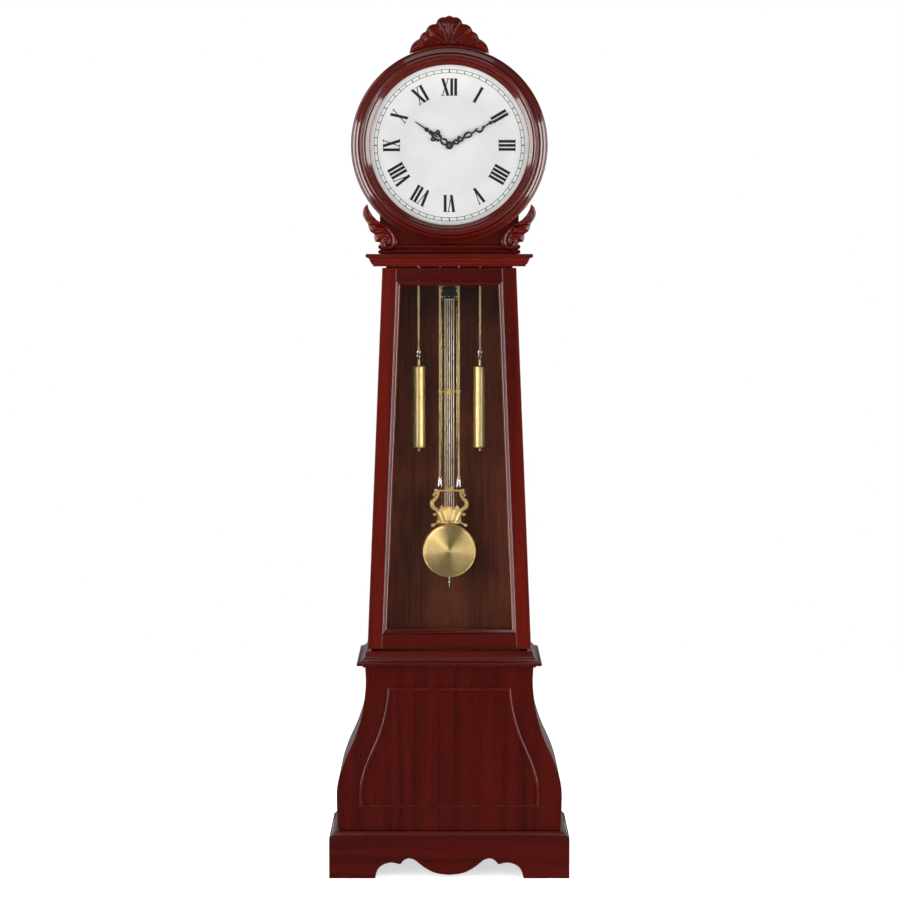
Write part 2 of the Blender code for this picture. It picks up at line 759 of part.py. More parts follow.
def make_carvings():
    # The crest is a fan of lobes. Its foot follows the bezel.
    notches = [(0.0075, 1.8305), (0.0280, 1.8165), (0.0495, 1.8005), (0.0625, 1.7855), (0.0835, 1.7555)]
    heights = (0.0055, 0.0052, 0.0032, 0.0058)
    half = []
    for start, end, height in zip(notches, notches[1:], heights):
        half += [start, *bulge(start, end, height, 5)]
    half.append(notches[-1])
    clear_radius = BEZEL_RADIUS + 0.0012
    foot = [(x, DIAL_CENTRE + math.sqrt(clear_radius**2 - x**2)) for x in (0.072, 0.048, 0.024, 0.0)]
    top = bulge((-0.0075, 1.8305), (0.0075, 1.8305), 0.0032, 4)
    right = half + foot
    flat_board("crest_shell", top + right + mirrored(right[:-1]), -0.0980, -0.0750)

    # A leaf with a volute at its foot, standing against the neck's corner.
    leaf = [
        (0.1733, 1.4393),
        (0.1700, 1.4279),
        (0.1635, 1.4165),
        (0.1542, 1.4067),
        (0.1452, 1.4010),
        (0.1322, 1.3925),
        (0.1216, 1.3842),
        (0.1134, 1.3741),
        (0.1093, 1.3619),
        (0.1118, 1.3525),
        (0.1185, 1.3448),
        (0.1265, 1.3412),
        (0.1350, 1.3425),
        (0.1420, 1.3480),
        (0.1450, 1.3550),
        (0.1475, 1.3586),
        (0.1560, 1.3598),
        (0.1592, 1.3684),
        (0.1582, 1.3757),
        (0.1656, 1.3806),
        (0.1695, 1.3863),
        (0.1706, 1.3920),
        (0.1722, 1.3985),
        (0.1787, 1.4075),
        (0.1825, 1.4157),
        (0.1828, 1.4230),
        (0.1804, 1.4311),
    ]
    front = HEAD_FRONT - GAP - 0.0200
    rebate_z = NECK_BASE_TOP + 0.0010
    for side, outline in (("right", leaf), ("left", mirrored(leaf))):
        sign = 1 if side == "right" else -1
        scroll = as_mesh(flat_board(f"scroll_{side}", outline, front, HEAD_FRONT - GAP))
        low_x, high_x = sorted((sign * 0.100, sign * 0.155))
        # The foot of the leaf is hollowed at the back, to clear the beads of the neck's base.
        cut(scroll, box(f"scroll_{side}_rebate", (low_x, -0.0885, 1.330), (high_x, -0.070, rebate_z)))


# ---------------------------------------------------------------- movement and hands
def make_movement():
    centre = Vector((0, 0, DIAL_CENTRE))
    housing = box(
        "movement_housing",
        centre + Vector((-0.058, -0.0838, -0.048)),
        centre + Vector((0.058, -0.0480, 0.048)),
        BLACK_PLASTIC,
    )
    bushing = cylinder(
        "hand_bushing", 0.0044, centre + Vector((0, -0.0870, 0)), centre + Vector((0, -0.0700, 0)), BRASS
    )
    shaft_hole = cylinder(
        "hand_shaft_hole", 0.0032, centre + Vector((0, -0.0900, 0)), centre + Vector((0, -0.0770, 0)), BRASS
    )
    bay_z = -0.034
    bay = box(
        "battery_bay",
        centre + Vector((-0.0275, -0.0652, bay_z - 0.0080)),
        centre + Vector((0.0275, -0.0400, bay_z + 0.0080)),
    )
    knob_place = centre + Vector((0.020, 0, 0.012))
    knob_hole = cylinder(
        "knob_hole", 0.0022, knob_place + Vector((0, -0.056, 0)), knob_place + Vector((0, -0.040, 0))
    )
    join(housing, bushing)
    cut(housing, shaft_hole, bay, knob_hole)

    battery_y = -0.0570
    cell = cylinder(
        "battery",
        0.0071,
        centre + Vector((-0.0248, battery_y, bay_z)),
        centre + Vector((0.0238, battery_y, bay_z)),
        BATTERY_WRAP,
        segments=24,
    )
    nub = cylinder(
        "battery_nub",
        0.0027,
        centre + Vector((0.0200, battery_y, bay_z)),
        centre + Vector((0.0252, battery_y, bay_z)),
    )
    join(cell, nub)

    knob = cylinder(
        "set_knob", 0.0080, knob_place + Vector((0, -0.0477, 0)), knob_place + Vector((0, -0.0400, 0)),
        BLACK_PLASTIC, segments=24,
    )
    stem = cylinder(
        "set_knob_stem", 0.0020, knob_place + Vector((0, -0.0550, 0)), knob_place + Vector((0, -0.0450, 0))
    )
    join(knob, stem)
    hang_on(axis_empty("set_knob_axis", knob_place), knob)


def hand_outline(length, hub, root, waist):
    """A pierced hand, seen plain: a round hub, a swelling blade and a fine point, pointing up."""
    half = [
        (root, hub * 0.80),
        (root * 1.2, length * 0.20),
        (waist, length * 0.34),
        (waist * 0.55, length * 0.48),
        (waist * 0.30, length * 0.62),
        (0.0010, length * 0.78),
        (0.0004, length),
    ]
    around = arc(hub, 0, 0, 90 - math.degrees(math.asin(root / hub)), -90, 8)
    right = [*reversed(half), *around[1:]]
    return right + mirrored(right[:-1])


def turn_outline(points, clockwise_deg):
    """Turns (x, z) points about the origin, clockwise as seen from the front, and lifts them to the dial."""
    angle = math.radians(clockwise_deg)
    return [
        (x * math.cos(angle) + z * math.sin(angle), DIAL_CENTRE - x * math.sin(angle) + z * math.cos(angle))
        for x, z in points
    ]


def make_hands():
    centre = Vector((0, 0, DIAL_CENTRE))
    axis = axis_empty("hands_axis", centre)

    hour = turn_outline(hand_outline(0.088, 0.0062, 0.0022, 0.0085), 304.5)
    hour_hand = as_mesh(flat_board("hour_hand", hour, -0.0886, -0.0878, BLACK_METAL))
    hour_tube = cylinder(
        "hour_tube", 0.0030, centre + Vector((0, -0.0884, 0)), centre + Vector((0, -0.0800, 0))
    )
    tube_bore = cylinder(
        "hour_tube_bore", 0.0017, centre + Vector((0, -0.0920, 0)), centre + Vector((0, -0.0780, 0))
    )
    join(hour_hand, hour_tube)
    cut(hour_hand, tube_bore)

    minute = turn_outline(hand_outline(0.143, 0.0055, 0.0020, 0.0062), 61.5)
    minute_hand = as_mesh(flat_board("minute_hand", minute, -0.0904, -0.0896, BLACK_METAL))
    arbor = cylinder(
        "minute_arbor", 0.0016, centre + Vector((0, -0.0902, 0)), centre + Vector((0, -0.0790, 0))
    )
    join(minute_hand, arbor)

    nut = turned(
        "hand_nut",
        [(0.0, -0.0932), (0.0018, -0.0931), (0.0030, -0.0922), (0.0030, -0.0907), (0.0, -0.0907)],
        BLACK_METAL,
        centre,
        steps=16,
    )
    hang_on(axis, hour_hand, minute_hand, nut)


# ---------------------------------------------------------------- pendulum
def make_pendulum():
    pivot = PENDULUM_PIVOT
    drive = box("pendulum_drive", (-0.034, 0.0180, 1.2700), (0.034, 0.0500, TRUNK_TOP), BLACK_PLASTIC)
    pin = cylinder("pendulum_pin", 0.0020, pivot + Vector((0, -0.0070, 0)), pivot + Vector((0, 0.0100, 0)))
    join(drive, pin)

    # The gridiron: a hanger with an eye, seven rods, a middle bar and a bottom bar.
    plate_front = pivot.y - 0.0016
    plate_back = pivot.y + 0.0016
    rod_top = 1.2400
    rod_bottom = 0.7830
    eye = [
        (-0.0045, 1.262),
        (0.0045, 1.262),
        (0.0045, pivot.z),
        (0.0032, 1.2942),
        (-0.0032, 1.2942),
        (-0.0045, pivot.z),
    ]
    pin_hole = circle(0.0021, 0, pivot.z, 16)
    hanger = as_mesh(flat_board("pendulum_gridiron", eye, plate_front, plate_back, BRASS, holes=[pin_hole]))
    parts = [box("grid_top_block", (-0.0185, pivot.y - 0.0030, 1.2380), (0.0185, pivot.y + 0.0030, 1.2650))]
    for i, x in enumerate(ROD_PLACES):
        low = BOB_CENTRE - BOB_RADIUS + 0.001 if x == 0.0 else rod_bottom
        rod = cylinder(
            f"grid_rod_{i}", ROD_RADIUS, (x, pivot.y, low), (x, pivot.y, rod_top), BRASS, segments=8
        )
        parts.append(rod)
    for name, half_width, half_depth, bottom, top in (
        ("middle", 0.0245, 0.0022, 1.0332, 1.0424),
        ("bottom", 0.0190, 0.0020, 0.7800, 0.7860),
    ):
        low = (-half_width, pivot.y - half_depth, bottom)
        high = (half_width, pivot.y + half_depth, top)
        parts.append(box(f"grid_{name}_bar", low, high))
    join(hanger, *parts)

    lyre = make_lyre(pivot.y - 0.0052, pivot.y - 0.0025)
    bob_back = pivot.y - 0.0055
    bob = turned(
        "pendulum_bob",
        [
            (0.0, bob_back - 0.0090),
            (0.0300, bob_back - 0.0082),
            (0.0520, bob_back - 0.0062),
            (BOB_RADIUS, bob_back - 0.0040),
            (BOB_RADIUS, bob_back - 0.0022),
            (0.0540, bob_back),
            (0.0, bob_back),
        ],
        BRASS,
        (0, 0, BOB_CENTRE),
        steps=48,
    )
    foot = BOB_CENTRE - BOB_RADIUS
    tip_end = 0.6092
    tip = turned(
        "pendulum_tip",
        [
            (0.0, foot),
            (0.0030, foot),
            (0.0030, foot - 0.004),
            (0.0015, foot - 0.008),
            (0.0015, tip_end),
            (0.0, tip_end),
        ],
        STEEL,
        (0, pivot.y, 0),
        facing="up",
        steps=12,
    )
    hang_on(axis_empty("pendulum_pivot", pivot), hanger, lyre, bob, tip)


def make_lyre(y_front, y_back):
    """The lyre: a broad foot, two arms that curl out at the top, and a bar between them."""
    half = [
        (0.0060, 0.7472),
        (0.0250, 0.7440),
        (0.0330, 0.7425),
        (0.0382, 0.7470),
        (0.0362, 0.7525),
        (0.0300, 0.7545),
        (0.0272, 0.7620),
        (0.0280, 0.7665),
        (0.0345, 0.7675),
        (0.0345, 0.7730),
        (0.0320, 0.7760),
        (0.0395, 0.7800),
        (0.0428, 0.7880),
        (0.0405, 0.7970),
        (0.0345, 0.8035),
        (0.0372, 0.8105),
        (0.0345, 0.8150),
        (0.0375, 0.8215),
        (0.0330, 0.8240),
        (0.0270, 0.8175),
        (0.0245, 0.8225),
        (0.0240, 0.8290),
        (0.0290, 0.8355),
        (0.0385, 0.8360),
        (0.0385, 0.8425),
        (0.0280, 0.8425),
        (0.0205, 0.8360),
        (0.0190, 0.8275),
        (0.0062, 0.8270),
        (0.0062, 0.8350),
    ]
    outline = half + mirrored(half)
    window_half = [
        (0.0080, 0.7860),
        (0.0200, 0.7810),
        (0.0290, 0.7815),
        (0.0340, 0.7880),
        (0.0318, 0.7950),
        (0.0255, 0.8020),
        (0.0235, 0.8110),
        (0.0205, 0.8215),
        (0.0060, 0.8215),
    ]
    window = window_half + mirrored(window_half)
    return flat_board("pendulum_lyre", outline, y_front, y_back, BRASS, holes=[window])


# ---------------------------------------------------------------- weights and chains
def hook_plate(name, x, top, bottom, half_width, hole_z, hole_radius, made_of):
    """A flat hook plate with one round hole, under a chain."""
    outline = [
        (x - 0.0015, top),
        (x - half_width, hole_z + half_width * 0.4),
        (x - half_width, hole_z - half_width * 0.5),
        (x - half_width * 0.5, bottom),
        (x + half_width * 0.5, bottom),
        (x + half_width, hole_z - half_width * 0.5),
        (x + half_width, hole_z + half_width * 0.4),
        (x + 0.0015, top),
    ]
    hole = circle(hole_radius, x, hole_z, 10)
    front = CHAIN_PLANE - 0.0010
    return as_mesh(flat_board(name, outline[::-1], front, front + 0.0020, made_of, holes=[hole]))


def make_weights_and_chains():
    for side, sign in (("left", -1), ("right", 1)):
        x = sign * WEIGHT_X
        weight = turned(
            f"weight_{side}",
            [
                (0.0, 1.1100),
                (0.0026, 1.1100),
                (0.0036, 1.1085),
                (0.0036, WEIGHT_TOP + 0.0015),
                (0.0125, WEIGHT_TOP),
                (WEIGHT_RADIUS, WEIGHT_TOP - 0.0015),
                (WEIGHT_RADIUS, WEIGHT_BOTTOM + 0.0015),
                (0.0125, WEIGHT_BOTTOM),
                (0.0045, WEIGHT_BOTTOM - 0.0010),
                (0.0038, 0.9106),
                (0.0, 0.9106),
            ],
            BRASS,
            (x, CHAIN_PLANE, 0),
            facing="up",
            steps=24,
        )
        hung_from = (x, CHAIN_PLANE, TRUNK_TOP)
        name = f"weight_chain_{side}"
        chain = cylinder(name, CHAIN_RADIUS, (x, CHAIN_PLANE, 1.1270), hung_from, BRASS, segments=8)
        join(chain, hook_plate(f"weight_hook_{side}", x, 1.1300, 1.1103, 0.0052, 1.1210, 0.0016, STEEL))
        hang_on(axis_empty(f"weight_{side}_pivot", hung_from), weight, chain)

        x = sign * FREE_CHAIN_X
        hung_from = (x, CHAIN_PLANE, TRUNK_TOP)
        name = f"free_chain_{side}"
        chain = cylinder(name, CHAIN_RADIUS, (x, CHAIN_PLANE, 0.8520), hung_from, BRASS, segments=8)
        join(chain, hook_plate(f"free_hook_{side}", x, 0.8560, 0.8290, 0.0048, 0.8350, 0.0020, STEEL))
        hang_on(axis_empty(f"free_chain_{side}_pivot", hung_from), chain)


make_plinth()
make_base()
make_trunk()
make_door()
make_neck_and_drum()
make_hatch()
make_bezel()
make_carvings()
make_movement()
make_hands()
make_pendulum()
make_weights_and_chains()
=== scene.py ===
"""Looks of the grandfather clock: lacquered cherry, carvings, enamelled dial, lyre pendulum and chains.

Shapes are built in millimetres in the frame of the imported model: x to the viewer's right, y away from the
viewer, z up. make_piece() turns them into metres. Materials, lights and the camera are in metres.
"""

import json
import math
import random

import bmesh
import bpy
import numpy as np
from mathutils import Matrix, Vector
from mathutils.geometry import delaunay_2d_cdt

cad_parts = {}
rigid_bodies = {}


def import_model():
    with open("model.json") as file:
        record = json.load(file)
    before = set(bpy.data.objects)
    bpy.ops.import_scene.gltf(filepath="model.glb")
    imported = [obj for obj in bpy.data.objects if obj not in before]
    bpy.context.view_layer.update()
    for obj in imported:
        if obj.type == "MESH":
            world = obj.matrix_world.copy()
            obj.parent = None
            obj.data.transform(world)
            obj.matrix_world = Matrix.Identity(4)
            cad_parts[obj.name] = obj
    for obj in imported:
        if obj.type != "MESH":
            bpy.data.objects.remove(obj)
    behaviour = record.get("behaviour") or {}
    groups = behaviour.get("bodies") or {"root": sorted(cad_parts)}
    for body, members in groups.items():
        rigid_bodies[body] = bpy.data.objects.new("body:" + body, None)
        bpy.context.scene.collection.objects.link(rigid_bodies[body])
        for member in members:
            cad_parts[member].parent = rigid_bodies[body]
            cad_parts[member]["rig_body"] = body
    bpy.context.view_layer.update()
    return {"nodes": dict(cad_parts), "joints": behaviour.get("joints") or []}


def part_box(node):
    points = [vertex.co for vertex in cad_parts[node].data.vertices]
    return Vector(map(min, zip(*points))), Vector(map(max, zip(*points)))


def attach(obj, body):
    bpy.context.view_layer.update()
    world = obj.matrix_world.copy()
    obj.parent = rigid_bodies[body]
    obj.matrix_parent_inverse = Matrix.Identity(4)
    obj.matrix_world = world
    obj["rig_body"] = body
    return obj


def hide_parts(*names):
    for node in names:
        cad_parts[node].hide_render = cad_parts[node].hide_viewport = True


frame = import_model()

MM = 0.001


def box(node):
    """The low corner, the high corner and the centre of a CAD node, in mm."""
    low, high = (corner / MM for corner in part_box(node))
    return low, high, (low + high) / 2


def size(node):
    """Half the width, the depth and the height of a CAD node, in mm."""
    low, high, _ = box(node)
    return (high.x - low.x) / 2, high.y - low.y, high.z - low.z


DIAL = box("bezel_ring")[2]


def on_dial(y):
    """The point of the dial's axis at a depth."""
    return (DIAL.x, y, DIAL.z)


# ---------------------------------------------------------------- materials


class Tree:
    """A node tree, with short calls that add nodes to it."""

    def __init__(self, tree):
        self.nodes = tree.nodes
        self.links = tree.links

    def put(self, socket, value):
        if isinstance(value, bpy.types.NodeSocket):
            self.links.new(value, socket)
        elif socket.type == "RGBA" and len(value) == 3:
            socket.default_value = (*value, 1)
        else:
            socket.default_value = value

    def node(self, kind, inputs, output=0, **settings):
        made = self.nodes.new("ShaderNode" + kind)
        for key, value in settings.items():
            setattr(made, key, value)
        for key, value in inputs.items():
            self.put(made.inputs[key], value)
        return made.outputs[output]

    def split(self, vector):
        made = self.nodes.new("ShaderNodeSeparateXYZ")
        self.links.new(vector, made.inputs[0])
        return made.outputs

    def mapped(self, vector, scale, offset=(0, 0, 0)):
        return self.node("Mapping", {"Vector": vector, "Scale": scale, "Location": offset})

    def noise(self, vector, scale, detail=3, roughness=0.55, distortion=0):
        sockets = {"Vector": vector, "Scale": scale, "Detail": detail, "Roughness": roughness}
        return self.node("TexNoise", {**sockets, "Distortion": distortion}, "Fac")

    def spread(self, value, low, high, to_low=0, to_high=1):
        ends = {"From Min": low, "From Max": high, "To Min": to_low, "To Max": to_high}
        return self.node("MapRange", {"Value": value, **ends}, "Result")

    def maths(self, operation, *values):
        return self.node("Math", dict(enumerate(values)), operation=operation)

    def length(self, vector):
        return self.node("VectorMath", {0: vector}, "Value", operation="LENGTH")

    def times(self, color, factor):
        return self.node("Mix", {0: 1.0, 6: color, 7: factor}, 2, data_type="RGBA", blend_type="MULTIPLY")

    def ramp(self, value, stops):
        made = self.nodes.new("ShaderNodeValToRGB")
        elements = made.color_ramp.elements
        while len(elements) < len(stops):
            elements.new(0.5)
        for element, (place, color) in zip(elements, stops):
            element.position = place
            element.color = (*color, 1)
        self.links.new(value, made.inputs[0])
        return made.outputs[0]

    def bump(self, height, strength, distance):
        return self.node("Bump", {"Height": height, "Strength": strength, "Distance": distance})


class Shader(Tree):
    """A Principled material; place is the point that is shaded, in metres."""

    def __init__(self, name, constants):
        self.material = bpy.data.materials.new(name)
        self.material.use_nodes = True
        super().__init__(self.material.node_tree)
        self.surface(**constants)
        self.place = self.node("TexCoord", {}, "Object")

    def surface(self, **sockets):
        for socket, value in sockets.items():
            self.put(self.nodes["Principled BSDF"].inputs[socket.replace("_", " ")], value)
        return self.material

    def finish(self, color, rough, polish, relief, strength, distance, **more):
        """The surface with its roughness between the two values of polish, and a bump."""
        rough = self.spread(rough, 0.3, 0.7, *polish)
        bump = self.bump(relief, strength, distance)
        return self.surface(Base_Color=color, Roughness=rough, Normal=bump, **more)

    def centred(self, centre, scale=(1, 1, 1)):
        """The place measured from an axis along y, in mm, that becomes the origin."""
        return self.mapped(self.place, scale, (-centre.x * MM, 0, -centre.z * MM))


CHERRY = [(0.30, (0.024, 0.0011, 0.0005)), (0.52, (0.046, 0.0020, 0.0007)), (0.80, (0.072, 0.0036, 0.0012))]
LACQUER = {"Specular IOR Level": 0.05, "Coat Weight": 1.0, "Coat Roughness": 0.10, "Coat IOR": 1.5}
CARVED_LACQUER = {**LACQUER, "Coat Weight": 0.40, "Coat Roughness": 0.18}
RING_LACQUER = {**LACQUER, "Coat Roughness": 0.11}


def toned(color, tone):
    return tuple(tone * channel for channel in color)


def grain_look(shader, along, tone, hollows=False):
    """Cherry figure in a space whose third axis runs with the grain: clouds, growth rings, streaks and pores.

    With its last argument set, it darkens the hollows of a carving as painted shade, where some dark finish
    also gathers, and lightens the ridges as a painted highlight.
    """
    clouds = shader.noise(shader.mapped(along, (1, 1, 0.10)), 9, 3, 0.5, 0.4)
    waves = {"Scale": 7.5, "Distortion": 7.0, "Detail": 3.0, "Detail Scale": 2.2}
    waves["Vector"] = shader.mapped(along, (1, 1, 0.05))
    rings = shader.node("TexWave", waves, "Fac", wave_type="BANDS", bands_direction="X")
    streaks = shader.noise(shader.mapped(along, (1, 1, 0.018)), 210, 4, 0.65)
    pores = shader.noise(shader.mapped(along, (1, 1, 0.03)), 900, 2, 0.6)
    figure = shader.maths("MULTIPLY_ADD", rings, 0.11, shader.maths("MULTIPLY", clouds, 0.58))
    figure = shader.maths("MULTIPLY_ADD", streaks, 0.34, figure)
    color = shader.ramp(figure, [(place, toned(shade, tone)) for place, shade in CHERRY])
    pore_mask = shader.spread(pores, 0.30, 0.42, 0.62, 1.0)
    color = shader.times(color, pore_mask)
    if hollows:
        # painted shade in the hollows, with some dark finish there too, and a painted highlight on the ridges
        pointiness = shader.node("NewGeometry", {}, "Pointiness")
        color = shader.times(color, shader.spread(pointiness, 0.44, 0.55, 0.35, 1.25))
    height = shader.maths("MULTIPLY_ADD", pore_mask, 0.5, streaks)
    ripple = shader.bump(shader.noise(along, 55, 2, 0.4), 0.04, 0.004)
    return shader.finish(color, streaks, (0.36, 0.50), height, 0.10, 0.0004, Coat_Normal=ripple)


def wood(name, grain, seed, tone=1.0, lacquer=LACQUER, hollows=False):
    """Lacquered cherry in a straight board. grain names the axis that the fibres follow."""
    shader = Shader(name, lacquer)
    place = shader.mapped(shader.place, (1, 1, 1), (seed * 1.7, seed * 3.1, seed * 2.3))
    if grain != "Z":
        parts = shader.split(place)
        order = {"X": "ZYX", "Y": "XZY"}[grain]
        place = shader.node("CombineXYZ", {i: parts[axis] for i, axis in enumerate(order)})
    return grain_look(shader, place, tone, hollows)


def turned_wood(name, segments, tone):
    """Lacquered cherry round the head: the fibres follow the circle, and each segment is its own piece."""
    shader = Shader(name, RING_LACQUER)
    x, y, z = shader.split(shader.centred(DIAL))
    angle = shader.maths("ARCTAN2", x, z)
    radius = shader.maths("SQRT", shader.maths("MULTIPLY_ADD", x, x, shader.maths("MULTIPLY", z, z)))
    along = shader.maths("MULTIPLY", angle, 0.19)
    if segments:
        piece = shader.maths("FLOOR", shader.maths("MULTIPLY", angle, segments / math.tau))
        along = shader.maths("MULTIPLY_ADD", piece, 3.7, along)
        radius = shader.maths("MULTIPLY_ADD", piece, 0.53, radius)
    return grain_look(shader, shader.node("CombineXYZ", {0: radius, 1: y, 2: along}), tone)


def stained_board(name, light, dark, fade=1.0):
    """Thin stained board of the backs: a faint upright grain. fade is its tone above the pendulum's bars: a
    painted shadow that darkens it towards the top.
    """
    shader = Shader(name, {"Specular IOR Level": 0.12})
    veneer = shader.noise(shader.mapped(shader.place, (1, 1, 0.06)), 120, 4, 0.6)
    blotches = shader.noise(shader.place, 8, 3, 0.5)
    figure = shader.maths("MULTIPLY_ADD", veneer, 0.55, shader.maths("MULTIPLY", blotches, 0.5))
    # painted shadow: the tone falls from 1.0 at 0.75 m to fade at 1.25 m, darker towards the top
    painted_top_shadow = shader.spread(shader.split(shader.place)[2], 0.75, 1.25, 1.0, fade)
    color = shader.times(shader.ramp(figure, [(0.38, dark), (0.68, light)]), painted_top_shadow)
    return shader.finish(color, blotches, (0.42, 0.58), veneer, 0.12, 0.0003)


def brass(name, light, dark, polish, cast=0.0, metal=1.0):
    """Brass with a slightly uneven lacquer. cast adds the soft unevenness of a sand casting."""
    shader = Shader(name, {"Metallic": metal})
    tarnish = shader.noise(shader.place, 60, 4, 0.6)
    smears = shader.noise(shader.mapped(shader.place, (1, 1, 0.25)), 170, 3, 0.6)
    grit = shader.noise(shader.place, 900, 3, 0.6)
    color = shader.ramp(tarnish, [(0.30, dark), (0.62, light)])
    return shader.finish(color, smears, polish, grit, 0.05 + cast, 0.0004)


def spun_brass(name):
    """The pendulum bob: brass faced on a lathe, so that its highlights fan out from the centre."""
    shader = Shader(name, {"Metallic": 0.88, "Anisotropic": 0.86, "Anisotropic Rotation": 0.25})
    place = shader.centred(box("pendulum_bob")[2])
    radius = shader.length(shader.mapped(place, (1, 0, 1)))
    grooves = shader.noise(shader.node("CombineXYZ", {0: radius}), 2400, 3, 0.7)
    tarnish = shader.noise(place, 70, 3, 0.5)
    color = shader.ramp(tarnish, [(0.3, (0.90, 0.63, 0.23)), (0.65, (0.98, 0.74, 0.32))])
    tangent = shader.node("Tangent", {}, direction_type="RADIAL", axis="Y")
    return shader.finish(color, grooves, (0.27, 0.33), grooves, 0.03, 0.0002, Tangent=tangent)


def nickel(name, tint=(0.74, 0.72, 0.69), polish=(0.14, 0.26), metal=1.0):
    shader = Shader(name, {"Metallic": metal})
    smears = shader.noise(shader.mapped(shader.place, (1, 1, 0.2)), 240, 4, 0.6)
    clouds = shader.noise(shader.place, 45, 2, 0.5)
    color = shader.ramp(clouds, [(0.3, toned(tint, 0.82)), (0.65, tint)])
    return shader.finish(color, smears, polish, smears, 0.04, 0.0002)


def plastic(name, color, roughness=(0.42, 0.55), grain=1600):
    shader = Shader(name, {"Specular IOR Level": 0.45})
    scuffs = shader.noise(shader.place, 35, 4, 0.6)
    texture = shader.noise(shader.place, grain, 3, 0.6)
    color = shader.ramp(scuffs, [(0.35, toned(color, 0.8)), (0.65, toned(color, 1.15))])
    return shader.finish(color, scuffs, roughness, texture, 0.25, 0.0002)


def enamel(name):
    """The dial: matt off-white enamel with a faint mottle, and painted light that makes it paler towards its
    rim, where the bezel shades it.
    """
    shader = Shader(name, {"Specular IOR Level": 0.25})
    mottle = shader.noise(shader.place, 26, 4, 0.55)
    stipple = shader.noise(shader.place, 700, 3, 0.6)
    radius = shader.length(shader.centred(box("dial_plate")[2], (1, 0, 1)))
    color = shader.ramp(mottle, [(0.35, (0.63, 0.634, 0.63)), (0.65, (0.675, 0.675, 0.662))])
    # painted light: brighter from 100 mm out to the rim, against the bezel's shade
    color = shader.times(color, shader.spread(radius, 0.10, 0.165, 1.0, 1.30))
    return shader.finish(color, stipple, (0.46, 0.58), stipple, 0.05, 0.0003)


def glass(name, share):
    """Thin clear pane: mostly see-through, with faint smears in its gloss."""
    shader = Shader(name, {"Alpha": share, "Specular IOR Level": 0.5})
    smears = shader.noise(shader.place, 14, 4, 0.6)
    shader.material.surface_render_method = "BLENDED"
    return shader.surface(
        Base_Color=shader.ramp(smears, [(0.35, (0.020, 0.026, 0.024)), (0.7, (0.030, 0.036, 0.034))]),
        Roughness=shader.spread(smears, 0.35, 0.7, 0.02, 0.07))


LOOKS = {  # the styles of each slot
    "cherry_wood": {
        "upright": wood("cherry_upright", "Z", 1.0),
        "across": wood("cherry_across", "X", 2.3, 0.92),
        "deep": wood("cherry_deep", "Y", 3.9, 0.9),
        "stile": wood("cherry_stile", "Z", 5.2, 1.35),
        "panel": wood("cherry_panel", "Z", 7.7, 0.95),
        # carved: painted shade in its hollows and a painted highlight on its ridges
        "carved": wood("cherry_carved", "X", 4.4, 2.0, CARVED_LACQUER, True),
        "head": wood("cherry_head", "X", 8.6, 1.6),
        # groove: the cherry at 0.40 tone, painted shade for the bead's low flanks and bottom run
        "groove": wood("cherry_groove", "Z", 6.1, 0.40),
        "ring": turned_wood("cherry_ring", 6, 1.35),
        "drum": turned_wood("cherry_drum", 0, 1.0),
        # the ring's wood at 0.40 tone: painted shade for its grooves
        "glaze": turned_wood("cherry_ring_groove_shade", 6, 0.40),
    },
    "dark_panel": {
        "dark": stained_board("dark_board", (0.046, 0.0165, 0.0105), (0.020, 0.0075, 0.0052)),
        # veneer: the trunk's back, its upper part darkened as a painted shadow
        "veneer": stained_board("brown_veneer", (0.300, 0.068, 0.025), (0.145, 0.030, 0.011), 0.5),
    },
    "polished_brass": {
        "brass": brass("polished_brass", (0.86, 0.63, 0.27), (0.62, 0.40, 0.13), (0.16, 0.26)),
        "cast": brass("cast_brass", (0.90, 0.66, 0.27), (0.70, 0.47, 0.16), (0.34, 0.46), 0.12, 0.80),
        "chain": brass("chain_brass", (1.0, 0.86, 0.44), (0.86, 0.68, 0.30), (0.24, 0.34), 0.0, 0.50),
        "satin": brass("satin_brass", (0.70, 0.54, 0.25), (0.60, 0.44, 0.17), (0.32, 0.40), 0.0, 0.90),
        "bob": spun_brass("spun_brass"),
    },
    "nickel_steel": {
        "nickel": nickel("nickel"),
        "steel": nickel("steel_rod", (0.92, 0.89, 0.89), (0.24, 0.34), 0.62),
        "hinge": nickel("hinge_steel", (0.085, 0.070, 0.055), (0.50, 0.62)),
    },
    "black_metal": {
        "nut": nickel("blued_nut", (0.16, 0.16, 0.15), (0.38, 0.50), 0.7),
        "black": plastic("black_lacquer", (0.012, 0.012, 0.013), (0.30, 0.42), 900),
        "ink": plastic("dial_ink", (0.006, 0.006, 0.007), (0.75, 0.9), 700),
    },
    "black_plastic": {"plastic": plastic("black_plastic", (0.022, 0.022, 0.024))},
    "dial_white": {"enamel": enamel("dial_enamel")},
    "clear_glass": {"glass": glass("clear_glass", 0.06)},
    "battery_wrap": {"wrap": plastic("battery_wrap", (0.10, 0.12, 0.16), (0.25, 0.35), 400)},
}
STYLES = {style: material for looks in LOOKS.values() for style, material in looks.items()}
SLOTS = {style: slot for slot, looks in LOOKS.items() for style in looks}


# ---------------------------------------------------------------- mesh tools


